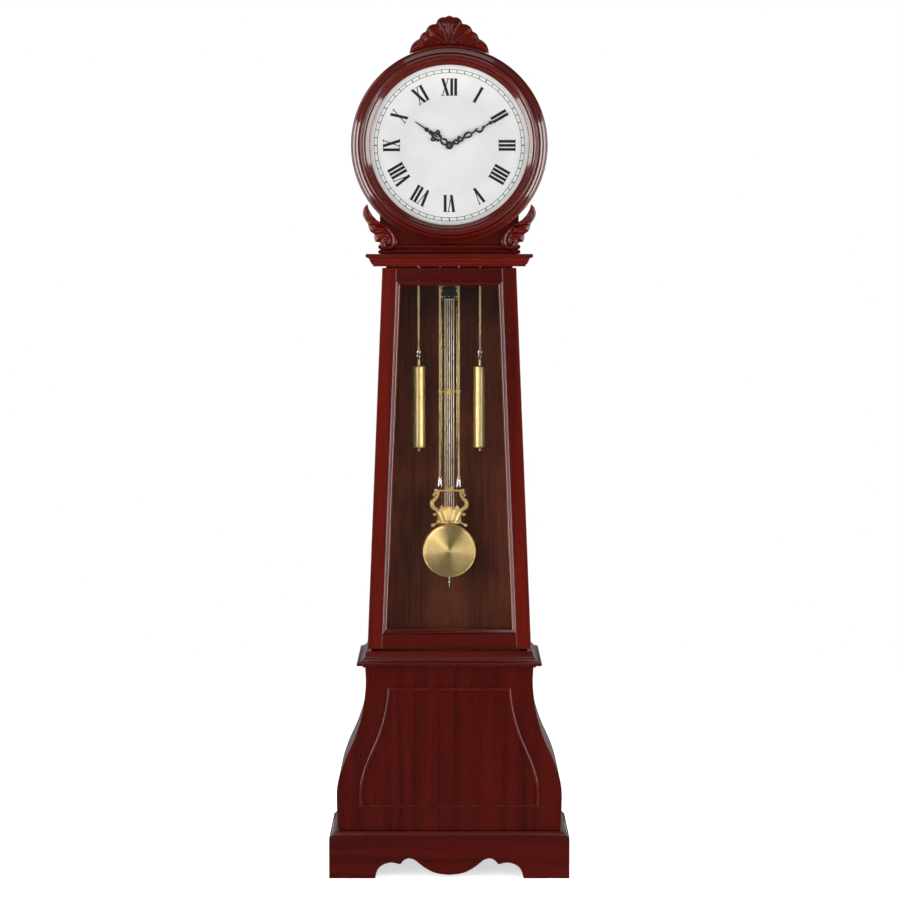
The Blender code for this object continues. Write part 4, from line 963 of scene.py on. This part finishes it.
def make_movement():
    """The battery with its sleeve and button, and the knurled setting knob."""
    low, high, middle = box("battery")
    radius, length = (high.z - low.z) / 2, high.x - low.x
    origin, shoulder = (low.x, middle.y, middle.z), length - 2.3
    sleeve = [(0.78, 0.35), (0.93, 0.1), (1, 0.8), (1, shoulder - 0.9), (0.93, shoulder - 0.2),
              (0.72, shoulder - 0.3), (0.72, shoulder - 1.2), (0.70, 1.2)]
    cell = [(0, 0), (0.62, 0), (0.74, 0.4), (0.70, 1.0), (0.70, shoulder - 0.6), (0.45, shoulder - 0.4),
            (0.38, shoulder), (0.37, length - 0.4), (0.30, length), (0, length)]
    mesh = bmesh.new()
    add_lathe(mesh, scaled(sleeve, radius), origin, (1, 0, 0), 40, True)
    add_lathe(mesh, scaled(cell, radius), origin, (1, 0, 0), 40, material=1)
    make_piece("battery_cell", mesh, "wrap nickel", ("battery",))
    wide, tall, _ = size("set_knob")
    wheel = 7.7
    profile = [(0, 0), (0.22 * wide, -0.02 * tall), (0.30 * wide, 0.10 - 0.02 * tall), (0.84 * wide, -0.1),
               (0.96 * wide, -0.5), (0.96 * wide, 0.6 - wheel), (0.84 * wide, -wheel), (2.0, -wheel),
               (2.0, 0.3 - tall), (1.7, -tall), (0, -tall)]
    turned_piece("set_knob_knurled", "set_knob", "plastic", profile, smooth=30, steps=144, ripple=(0.28, 36))


def make_hatch_knob():
    radius, height, _ = size("hatch_knob")
    profile = [(0, 0), (0.62, 0), (0.66, 0.06)]
    profile += smooth_line([(0.42, 0.16), (0.36, 0.40), (0.62, 0.56), (1, 0.70), (0.97, 0.86), (0.6, 0.98),
                            (0, 1)], 5)
    turned_piece("hatch_knob_turned", "hatch_knob", "brass", scaled(profile, radius, height), from_high=False,
                 steps=40)


# ---------------------------------------------------------------- door

BEAD_PROFILE = [  # (in from the frame's opening, forward of the bead's back), mm
    [(0.3, 0), (0.3, 14.0)], [(0.7, 15.6), (1.9, 16.5), (3.2, 16.0), (4.0, 14.2)], [(4.3, 12.4), (4.8, 12.1)],
    [(4.8, 12.1), (7.0, 11.4), (9.2, 9.2), (10.6, 6.2)], [(10.6, 0), (10.6, 0)]]


def make_door():
    """The moulded bead round the door's opening, and the steel clips behind it that hold the pane."""
    stile_low, stile_high, _ = box("door_stile_right")
    lean = next(joint for joint in frame["joints"] if joint["name"] == "door_hinge")["axis"]
    bottom, top = box("door_rail_bottom")[1].z, box("door_rail_top")[0].z

    def half(z):
        return stile_low.x - lean[0] / lean[2] * (stile_high.z - z)

    back = box("door_bead")[1].y
    mesh = bmesh.new()
    rings = []
    for d, forward in profile_line(BEAD_PROFILE):
        corners = ((-1, bottom + d), (1, bottom + d), (1, top - d), (-1, top - d))
        rings.append([(sign * (half(z) - d), back - forward, z) for sign, z in corners])
    join_rings(mesh, rings, loop=True)
    for face in mesh.faces:
        levels = [vert.co.z for vert in face.verts]
        face.material_index = max(levels) - min(levels) > 300
    make_piece("door_bead_moulding", mesh, "across stile", ("door_bead",), 30)

    inner, rear = box("door_glass")[1].y, stile_high.y
    mesh = bmesh.new()
    for share in (0.07, 0.36, 0.64, 0.93):
        z = bottom + (top - bottom) * share
        for sign in (1, -1):
            for reach, front, depth, bevel in ((12, rear + 0.05, rear + 0.75, 0.25),
                                               (-5.6, inner + 0.15, rear + 0.6, 0.2)):
                ends = sorted((sign * (half(z) - 7), sign * (half(z) + reach)))
                add_block(mesh, (ends[0], front, z - 6), (ends[1], depth, z + 6), bevel)
            add_screw(mesh, (sign * (half(z) + 6), rear + 0.7, z), 2.6, 1.1, 0.036 * z)
    make_piece("door_glass_clips", mesh, "nickel", body="door")


# ---------------------------------------------------------------- pendulum

_, ROD_HIGH, ROD_MIDDLE = box("pendulum_gridiron")
ROD_FOOT = box("pendulum_gridiron")[0].z
PENDULUM_Y = ROD_MIDDLE.y
RODS = [  # (name, style, x of each)
    ("steel", "steel", (0.0, -9.4, 9.4)), ("brass", "chain", (-4.7, 4.7)), ("outer", "brass", (-16.5, 16.5))]
ROD_RADIUS = 1.3
OUTER_RODS_FOOT = 783.5
BLOCK = (1238.2, 1264.8)  # heights of the CAD's top block, its bars and the pin that it hangs on
MIDDLE_BAR = (1033.2, 1042.4)
BOTTOM_BAR = (780.3, 785.7)
PIN = 1290.0


def make_gridiron_piece(name, mesh, style, smooth=40):
    make_piece(name, mesh, style, ("pendulum_gridiron",), smooth)


def make_rods():
    """Seven rods; the middle one runs down to the bob. Each has a ferrule under the block."""
    collar = [(1.35, 0), (2.0, 0.2), (2.1, 1.4), (1.7, 2.6), (1.35, 2.9)]
    for name, style, rods in RODS:
        mesh = bmesh.new()
        for x in rods:
            low = OUTER_RODS_FOOT if x else ROD_FOOT + 0.6
            tall = BLOCK[0] + 2 - low
            rod = [(0, 0), (0.8, 0), (1, 0.4), (1, tall - 0.4), (0.8, tall), (0, tall)]
            add_lathe(mesh, scaled(rod, ROD_RADIUS), (x, PENDULUM_Y, low), (0, 0, 1), 16)
            add_lathe(mesh, collar, (x, PENDULUM_Y, BLOCK[0] - 3), (0, 0, 1), 16, True)
        make_gridiron_piece("pendulum_rods_" + name, mesh, style)


def make_hanger():
    """Black hanger block with its eye plate, a brass leaf scroll on each side, and its rivets."""
    mesh = bmesh.new()
    y = PENDULUM_Y
    low, high = BLOCK
    add_block(mesh, (-18.5, y - 2.9, low), (18.5, y + 2.9, high - 12), 1.0)
    outline = smooth_line([(-15, 12), (-13.5, 19), (-8, 25), (0, 27.5), (8, 25), (13.5, 19), (15, 12)], 5)
    join_rings(mesh, [[(x - math.copysign(inset, x), y + depth, low + z - inset) for x, z in outline]
                      for depth, inset in ((2.6, 0.6), (2.2, 0), (-2.2, 0), (-2.6, 0.6))])
    plate = [(0, low + 22), (0, low + 40), (0, ROD_HIGH.z - 7)]
    add_ribbon(mesh, plate, [6.0, 4.2, 4.6], y + 0.6, y - 0.6, 0.2)
    eye = [(1.9, -0.6), (6.2, -0.6), (6.4, 0), (6.2, 0.6), (1.9, 0.6)]
    add_lathe(mesh, eye, (0, y, PIN), steps=40, closed=True)
    make_gridiron_piece("pendulum_hanger_block", mesh, "black")
    mesh = bmesh.new()
    curl = [(-15.0, 26.5), (-18.6, 24.0), (-19.2, 20.6), (-16.4, 18.0), (-18.8, 14.4), (-20.2, 9.0),
            (-18.0, 4.4), (-14.8, 3.0)]
    for sign in (1, -1):
        line = smooth_line([(sign * x, z) for x, z in curl], 6)
        add_tube(mesh, [(x, y - 2.4, low + z) for x, z in line], tapered(line, 1.2, 1.9, 1.3), flatten=0.7)
        for x, z, radius in ((-14.4, 26.8, 1.9), (-14.4, 3.2, 1.9), (-17.0, 17.8, 1.5)):
            add_ball(mesh, (sign * x, y - 2.6, low + z), radius, 0.8)
    for x in (-9.4, 0, 9.4):
        add_ball(mesh, (x, y - 2.7, low + 4.2), 1.3, 0.6)
    make_gridiron_piece("pendulum_hanger_scrolls", mesh, "cast", 45)


def make_bars():
    """The middle bar, turned with beads and a leaf at its centre, and the plain bottom bar."""
    y = PENDULUM_Y
    level = sum(MIDDLE_BAR) / 2
    mesh = bmesh.new()
    half = [(-24.0, -20.5, 3.0), (-20.5, -19.5, 1.8), (-19.5, -14.0, 2.4), (-14.0, -12.8, 3.4),
            (-12.8, -7.4, 2.5), (-7.4, -6.2, 3.6)]
    other_half = [(-end, -start, wide) for start, end, wide in half[::-1]]
    profile = [(0, -24.4)]
    for start, end, wide in half + [(-6.2, 6.2, 3.0)] + other_half:
        for t in (0, 0.25, 0.5, 0.75, 1):
            profile.append((wide - 0.9 * (2 * t - 1) ** 2, start + (end - start) * t))
    add_lathe(mesh, profile + [(0, 24.4)], (0, y, level), (1, 0, 0), 20)
    for sign in (1, -1):
        for lift in (1, -1):
            leaf = smooth_line([(0, 0), (sign * 3.0, lift * 3.6), (sign * 8.0, lift * 4.2),
                                (sign * 12.0, lift * 2.0)], 5)
            path = [(x, y - 2.6, level + z) for x, z in leaf]
            add_tube(mesh, path, tapered(leaf, 1.5, 1.5, 0.5), 8, flatten=0.7)
    add_ball(mesh, (0, y - 3.2, level), 2.2, 0.7)
    low, high = BOTTOM_BAR
    add_block(mesh, (-19, y - 2.6, low), (19, y + 2.6, high), 0.8)
    make_gridiron_piece("pendulum_cross_bars", mesh, "cast")


LYRE_OUTLINE = [  # the body, (x, z above the lyre's lowest point), right half from the bottom, mm
    (0, 6.7), (14, 6.5), (24, 6.9), (28.2, 10.0), (26.4, 14.5), (25.6, 20), (26.6, 26), (29.4, 31.5),
    (30.0, 36.5), (27.0, 39.6), (23.6, 39.4), (21.4, 42.4), (19.6, 46.2), (16.7, 47.6), (13.8, 45.6),
    (12.0, 41.6), (9.0, 40.0), (6.0, 41.6), (4.0, 46.4), (0, 48.4)]
LYRE_STROKES = [
    ([(0, 12), (0, 30), (0, 46)], 1.5, 4.2, 3.6),
    ([(7.5, 12), (12.0, 28), (16.4, 44.5)], 1.4, 3.6, 3.2),
    ([(15.5, 11.5), (21.0, 23), (27.4, 35.5)], 1.3, 3.2, 3.4),
    ([(4.0, 11), (6.4, 26), (8.6, 38)], -0.8, 1.0, 1.4),
    ([(11.4, 11), (16.6, 25), (22.0, 37)], -0.8, 1.0, 1.4),
    ([(6, 8.8), (18, 9.0), (25, 11.5)], 1.6, 1.6, 1.8)]
LYRE_ARM = [(25, 38.5), (31, 41.0), (36.2, 45.4), (37.6, 51), (36.8, 57), (31.5, 61.2), (27.2, 66.4),
            (24.6, 72), (23.4, 79)]
LYRE_ARM_WIDTHS = [3.6, 4.8, 5.8, 5.8, 5.0, 4.2, 3.6, 3.1, 2.8]
LYRE_CURLS = [  # (points, radius at start, end), mm
    ([(24, 39.5), (20.5, 37.5), (21.5, 34.5), (24.5, 35.5)], 1.6, 1.2),
    ([(23.6, 78), (25.5, 80.6), (29.0, 82.4), (32.6, 80.8)], 1.5, 2.6),
    ([(24.4, 73), (28.0, 75.2), (31.8, 75.0)], 1.2, 1.9),
    ([(28, 65.5), (31.6, 67.8), (34.6, 69.6)], 1.3, 2.2),
    ([(27, 30), (30.5, 27.0), (33.4, 28.0)], 1.4, 2.6),
    ([(26, 9.5), (30.5, 7.2), (35.2, 4.8), (36.8, 1.9)], 2.0, 2.4)]
LYRE_BALLS = [  # (x, z, radius), mm
    (29.6, 79.4, 3.4), (33.6, 70.4, 3.4), (33.0, 28.0, 3.4), (36.2, 4.6, 4.6), (24.0, 35.4, 2.0),
    (15.0, 80.2, 3.0), (31.6, 75.0, 3.2), (27.4, 74.0, 3.0)]


def make_lyre():
    """Cast lyre round the gridiron's foot: fluted fan, reeded arms, crossbar, and ball and curl ends."""
    low, high, _ = box("pendulum_lyre")
    foot, back = low.z, high.y
    outline = LYRE_OUTLINE + [(-x, z) for x, z in LYRE_OUTLINE[-2:0:-1]]
    outline = smooth_line([(x, foot + z) for x, z in outline], 4, closed=True)
    mesh = relief_mesh(outline, strokes_at(LYRE_STROKES, 0, foot), back, 2.0, 3.8, 3.0, 6.6, 0.8)

    def at(x, z, forward):
        return (x, back - forward, foot + z)

    line = smooth_line(LYRE_ARM, 7)
    widths = [width for width, _ in smooth_line([(width, 0) for width in LYRE_ARM_WIDTHS], 7)]
    bow = smooth_line([(0, 82.0), (3.2, 86.2), (6.4, 89.0), (8.0, 86.4), (6.6, 83.4), (2.6, 82.0)], 5)
    for sign in (1, -1):
        radii = [width * (1 + 0.09 * math.cos(2.3 * k)) / 1.15 for k, width in enumerate(widths)]
        add_tube(mesh, [at(sign * x, z, 3.0) for x, z in line], radii, 14, flatten=0.55)
        for shift in (-0.45, 0.45):
            reed = []
            for k, (x, z) in enumerate(line):
                step = Vector(line[min(k + 1, len(line) - 1)]) - Vector(line[max(k - 1, 0)])
                out = shift * widths[k] * step.normalized()
                reed.append(at(sign * (x + out.y), z - out.x, 5.2))
            add_tube(mesh, reed, [0.30 * width for width in widths], 8)
        for points, start, end in LYRE_CURLS:
            path = smooth_line(points, 5)
            radii = [start + (end - start) * k / (len(path) - 1) for k in range(len(path))]
            add_tube(mesh, [at(sign * x, z, 3.2) for x, z in path], radii, flatten=0.75)
        for x, z, radius in LYRE_BALLS:
            add_ball(mesh, at(sign * x, z, 3.4), radius, 0.7)
        add_tube(mesh, [at(sign * x, z, 3.6) for x, z in bow], 1.9, 9, flatten=0.8)
    bar = [(2.3 + 0.30 * math.cos(1.7 * k), -23.0 + 46.0 * k / 48) for k in range(49)]
    add_lathe(mesh, [(0, -23.5)] + bar + [(0, 23.5)], at(0, 80.2, 3.0), (1, 0, 0), 14)
    add_ball(mesh, at(0, 82.0, 4.0), 3.2, 0.8)
    make_piece("pendulum_lyre_cast", mesh, "cast", ("pendulum_lyre",), 50)


def make_bob():
    """The spun bob with its rolled edge, and the rating nut on the tip below it."""
    radius, thick, _ = size("pendulum_bob")
    edge = 2.6
    rim = [(radius - 0.3, -0.6), (radius, -0.30 * thick), (radius - 0.6, -0.52 * thick),
           (radius - 0.5 * edge, -0.60 * thick), (radius - edge, -0.50 * thick)]
    dome = [(radius - edge, -0.46 * thick), (0.88 * radius, -0.58 * thick), (0.60 * radius, -0.74 * thick),
            (0.30 * radius, -0.88 * thick), (0.05 * radius, -thick), (0, -thick)]
    profile = [(0, 0), (radius - 2.2, 0), (radius - 0.6, -0.3)] + smooth_line(rim, 5) + smooth_line(dome, 6)
    turned_piece("pendulum_bob_spun", "pendulum_bob", "bob", profile, smooth=40, steps=160)
    wide, _, tall = size("pendulum_tip")
    profile = [(0, 0), (0.35, 0.01), (0.45, 0.06), (0.45, 0.30), (0.85, 0.32), (1, 0.36), (1, 0.56),
               (0.85, 0.60), (0.45, 0.62), (0.45, 0.80), (0.8, 0.84), (0.8, 1), (0, 1)]
    turned_piece("pendulum_rating_nut", "pendulum_tip", "nickel", scaled(profile, wide, tall), "Z", False, 30,
                 steps=28, ripple=(0.08, 14))


# ---------------------------------------------------------------- weights and chains

WIRE, LINK_LONG, LINK_WIDE, PITCH = 0.58, 5.45, 4.9, 3.15


def add_chain(mesh, x, y, low, high, start, twist, seed):
    """Oval links that hang along z, each a quarter turn from the last, the whole slowly twisted."""
    rng = random.Random(seed)
    count = int((high - low) / PITCH)
    wide, tall = LINK_WIDE / 2 - WIRE, LINK_LONG / 2 - WIRE
    for k in range(count):
        turn = start + (k % 2) * math.pi / 2 + twist * k / count + rng.uniform(-0.10, 0.10)
        across = Vector((math.cos(turn), math.sin(turn), 0))
        centre = Vector((x, y, high - LINK_LONG / 2 - k * PITCH))
        path = []
        for step in range(14):
            angle = math.tau * step / 14
            path.append(centre + across * wide * math.cos(angle) + Vector((0, 0, tall * math.sin(angle))))
        add_tube(mesh, path, WIRE, 6, closed=True, up=(-across.y, across.x, 0))


def add_hook_plate(mesh, x, y, low, high):
    """Flat steel end plate of a chain: round at its foot, waisted, with a hole at each end."""
    half = 0.55
    foot, head = low + 6.0, high - 3.2
    for z, outer, inner in ((foot, 4.75, 2.0), (head, 3.0, 1.2)):
        ring = [(inner, -half), (outer - 0.3, -half), (outer, 0.3 - half), (outer, half - 0.3),
                (outer - 0.3, half), (inner, half)]
        add_lathe(mesh, ring, (x, y, z), steps=32, closed=True, material=1)
    path = [(x, foot + 2.6), (x, foot + 6.5), (x, head - 5.0), (x, head - 1.6)]
    add_ribbon(mesh, path, [3.9, 3.9, 3.5, 2.6], y + half * 0.96, y - half * 0.96, 0.25, 1)


def add_screw_eye(mesh, x, y, top):
    """A steel eye screwed up into the cornice board, that a chain hangs from."""
    ring = 3.1
    angles = [math.tau * k / 20 for k in range(20)]
    path = [(x + ring * math.sin(a), y, top - 5.2 - ring * math.cos(a)) for a in angles]
    add_tube(mesh, path, 0.8, 8, True)
    stem = [(0, 0), (1.0, 0.1), (1.0, 1.9), (2.2, 2.0), (2.2, 2.5), (0, 2.5)]
    add_lathe(mesh, stem, (x, y, top - 2.6), (0, 0, 1), 20)


def make_chains():
    """Free chains end in a flat plate, weight chains in a washer and the hook that carries the weight."""
    eyes = bmesh.new()
    top = box("free_chain_left")[1].z
    for side, sign in (("left", -1), ("right", 1)):
        node = "free_chain_" + side
        low, high, middle = box(node)
        x, y = middle.x, middle.y
        mesh = bmesh.new()
        add_chain(mesh, x, y, low.z + 24, high.z - 7.6, math.pi / 4, 0.9 * sign, 11 + sign)
        add_hook_plate(mesh, x, y, low.z, low.z + 27)
        make_piece(node + "_links", mesh, "chain nickel", (node,), 60)
        add_screw_eye(eyes, x, y, top)
        node = "weight_chain_" + side
        low, high, middle = box(node)
        x, y = middle.x, middle.y
        mesh = bmesh.new()
        add_chain(mesh, x, y, low.z + 16, high.z - 7.6, 0.0, 0.4 * sign, 21 + sign)
        washer = [(2.1, -0.8), (4.3, -0.9), (5.0, 0), (4.3, 0.9), (2.1, 0.8)]
        add_lathe(mesh, washer, (x, y, low.z + 13.5), steps=32, closed=True, material=1)
        hook = smooth_line([(0.4, 9.6), (-2.6, 7.2), (-2.9, 3.4), (0, 0.9), (2.6, 3.2), (2.0, 5.6)], 6)
        add_tube(mesh, [(x + a, y, low.z + b) for a, b in hook], 1.15, material=1)
        make_piece(node + "_links", mesh, "chain nickel", (node,), 60)
        add_screw_eye(eyes, x, y, top)
    make_piece("chain_screw_eyes", eyes, "nickel", body="case")


def make_weights():
    """Brass tubes with rolled end caps, a nipple on top and a finial below."""
    foot, cap = 8.6, 183.1
    for side in ("left", "right"):
        node = "weight_" + side
        radius, _, tall = size(node)
        profile = [(0, 0), (1.7, 0.1), (3.0, 1.2), (3.2, 4.6), (2.4, 6.4), (4.2, 7.6), (radius - 2.0, 7.9),
                   (radius - 0.3, foot), (radius, foot + 0.9), (radius, foot + 5.0),
                   (radius - 0.35, foot + 5.4), (radius - 0.35, cap - 5.4), (radius, cap - 5.0),
                   (radius, cap - 0.9), (radius - 0.9, cap), (radius - 3.0, cap + 0.5), (4.4, cap + 1.2),
                   (3.6, cap + 2.2), (3.4, cap + 9.5), (3.6, cap + 10.5), (3.6, tall - 2.0),
                   (2.6, tall - 0.3), (0, tall)]
        turned_piece(node + "_tube", node, "satin", profile, "Z", False, 25, steps=72)


# ---------------------------------------------------------------- screws

BASE_SCREWS = [  # (x on each side, z), mm
    (222, 120), (228, 160), (222, 205), (205, 260), (188, 320), (176, 380), (168, 435)]


def make_screws():
    """Slotted screws that hold the backs on."""
    mesh = bmesh.new()
    rng = random.Random(5)

    def drive(x, y, z):
        add_screw(mesh, (x, y, z), 3.0, 1.2, rng.uniform(0, math.pi))

    low, high, _ = box("trunk_back_panel")
    for share in (0.03, 0.22, 0.41, 0.60, 0.79, 0.97):
        inset = high.x - (high.x - box("trunk_side_right")[0].x) * share
        for sign in (1, -1):
            drive(sign * (inset - 9), high.y, low.z + (high.z - low.z) * share)
    rear = box("base_back_panel")[1].y
    for x, z in BASE_SCREWS:
        for sign in (1, -1):
            drive(sign * x, rear, z)
    for x in (-110, 0, 110):
        for z in (112, 442):
            drive(x, rear, z)
    rear = box("head_back_board")[1].y
    for k in range(12):
        angle = math.tau * (k + 0.5) / 12
        if abs(angle - math.pi) > 0.75:
            x, z = dial_point(angle, 186)
            drive(x, rear, z)
    for sign in (1, -1):
        for z in (1370, 1415):
            drive(sign * 139, rear, z)
    make_piece("back_screws", mesh, "nickel", body="case")


make_case()
make_bezel()
make_carvings()
make_hatch_knob()
make_dial()
make_hands()
make_movement()
make_door()
make_rods()
make_hanger()
make_bars()
make_lyre()
make_bob()
make_chains()
make_weights()
make_screws()


# ---------------------------------------------------------------- floor, light and camera

CAMERA_PLACE = Vector((0.0015, -5.384, 1.3219))
CAMERA_TARGET = Vector((0.0015, -0.124, 0.9209))
SIDE_LIGHTS = [  # (name, (x on the right side, y, z), size, power), aimed at the trunk
    ("softbox_", (2.5, -0.75, 1.15), (0.85, 2.3), 66),
    ("strip_", (2.2, -1.9, 1.1), (0.5, 2.2), 28),
    ("front_", (1.4, -3.0, 1.1), (0.4, 2.2), 19),
    ("rear_", (1.9, 2.6, 1.6), (1.0, 1.6), 40)]


def make_floor():
    """A pale floor that fades to the white behind it."""
    mesh = bmesh.new()
    bmesh.ops.create_circle(mesh, cap_ends=True, segments=96, radius=7.0)
    data = bpy.data.meshes.new("floor")
    mesh.to_mesh(data)
    mesh.free()
    floor = linked("floor", data)
    shader = Shader("floor_white", {"Roughness": 0.9, "Specular IOR Level": 0.1})
    mottle = shader.noise(shader.place, 3, 3, 0.5)
    shader.surface(
        Base_Color=shader.ramp(mottle, [(0.3, (0.93, 0.93, 0.93)), (0.7, (0.96, 0.96, 0.96))]),
        Emission_Color=(1, 1, 1), Emission_Strength=0.62,
        Alpha=shader.spread(shader.length(shader.place), 0.9, 3.0, 1.0, 0.0))
    shader.material.surface_render_method = "BLENDED"
    data.materials.append(shader.material)
    floor.visible_glossy = False


def make_world():
    """White to the camera; to the clock, a dim room in front and a bright one behind and above."""
    world = bpy.data.worlds.new("studio")
    bpy.context.scene.world = world
    world.use_nodes = True
    tree = Tree(world.node_tree)
    depth = tree.split(tree.node("TexCoord", {}, "Generated"))[1]
    bright = tree.spread(depth, -0.97, -0.75, 0.01, 0.16)
    room = tree.node("Background", {"Strength": bright, "Color": (1.0, 0.985, 0.965)})
    white = tree.node("Background", {"Strength": 1.0, "Color": (1, 1, 1)})
    seen = tree.node("LightPath", {}, "Is Camera Ray")
    tree.put(tree.nodes["World Output"].inputs[0], tree.node("MixShader", {0: seen, 1: room, 2: white}))


def make_light(name, place, aim, size, power):
    data = bpy.data.lights.new(name, "AREA")
    data.shape = "RECTANGLE"
    data.size, data.size_y = size
    data.energy = power
    light = linked(name, data)
    light.location = place
    light.rotation_euler = (Vector((0, 0, aim)) - Vector(place)).to_track_quat("-Z", "Y").to_euler()
    light.visible_camera = False


def make_studio():
    make_floor()
    make_world()
    for side, name in ((-1, "left"), (1, "right")):
        for kind, (x, y, z), size, power in SIDE_LIGHTS:
            make_light(kind + name, (side * x, y, z), 1.0, size, power)
    make_light("key", (-1.4, -4.6, 2.8), 1.0, (1.6, 1.2), 32)
    make_light("glint", (-0.95, -3.9, 1.12), 0.75, (0.5, 0.5), 6)
    make_light("top", (0, 0.1, 3.7), 1.2, (2.2, 1.4), 14)
    data = bpy.data.cameras.new("camera")
    data.lens = 99.8
    data.sensor_width = 36
    camera = linked("camera", data)
    camera.location = CAMERA_PLACE
    camera.rotation_euler = (CAMERA_TARGET - CAMERA_PLACE).to_track_quat("-Z", "Y").to_euler()
    bpy.context.scene.camera = camera
    bpy.context.scene.view_settings.view_transform = "Standard"


make_studio()
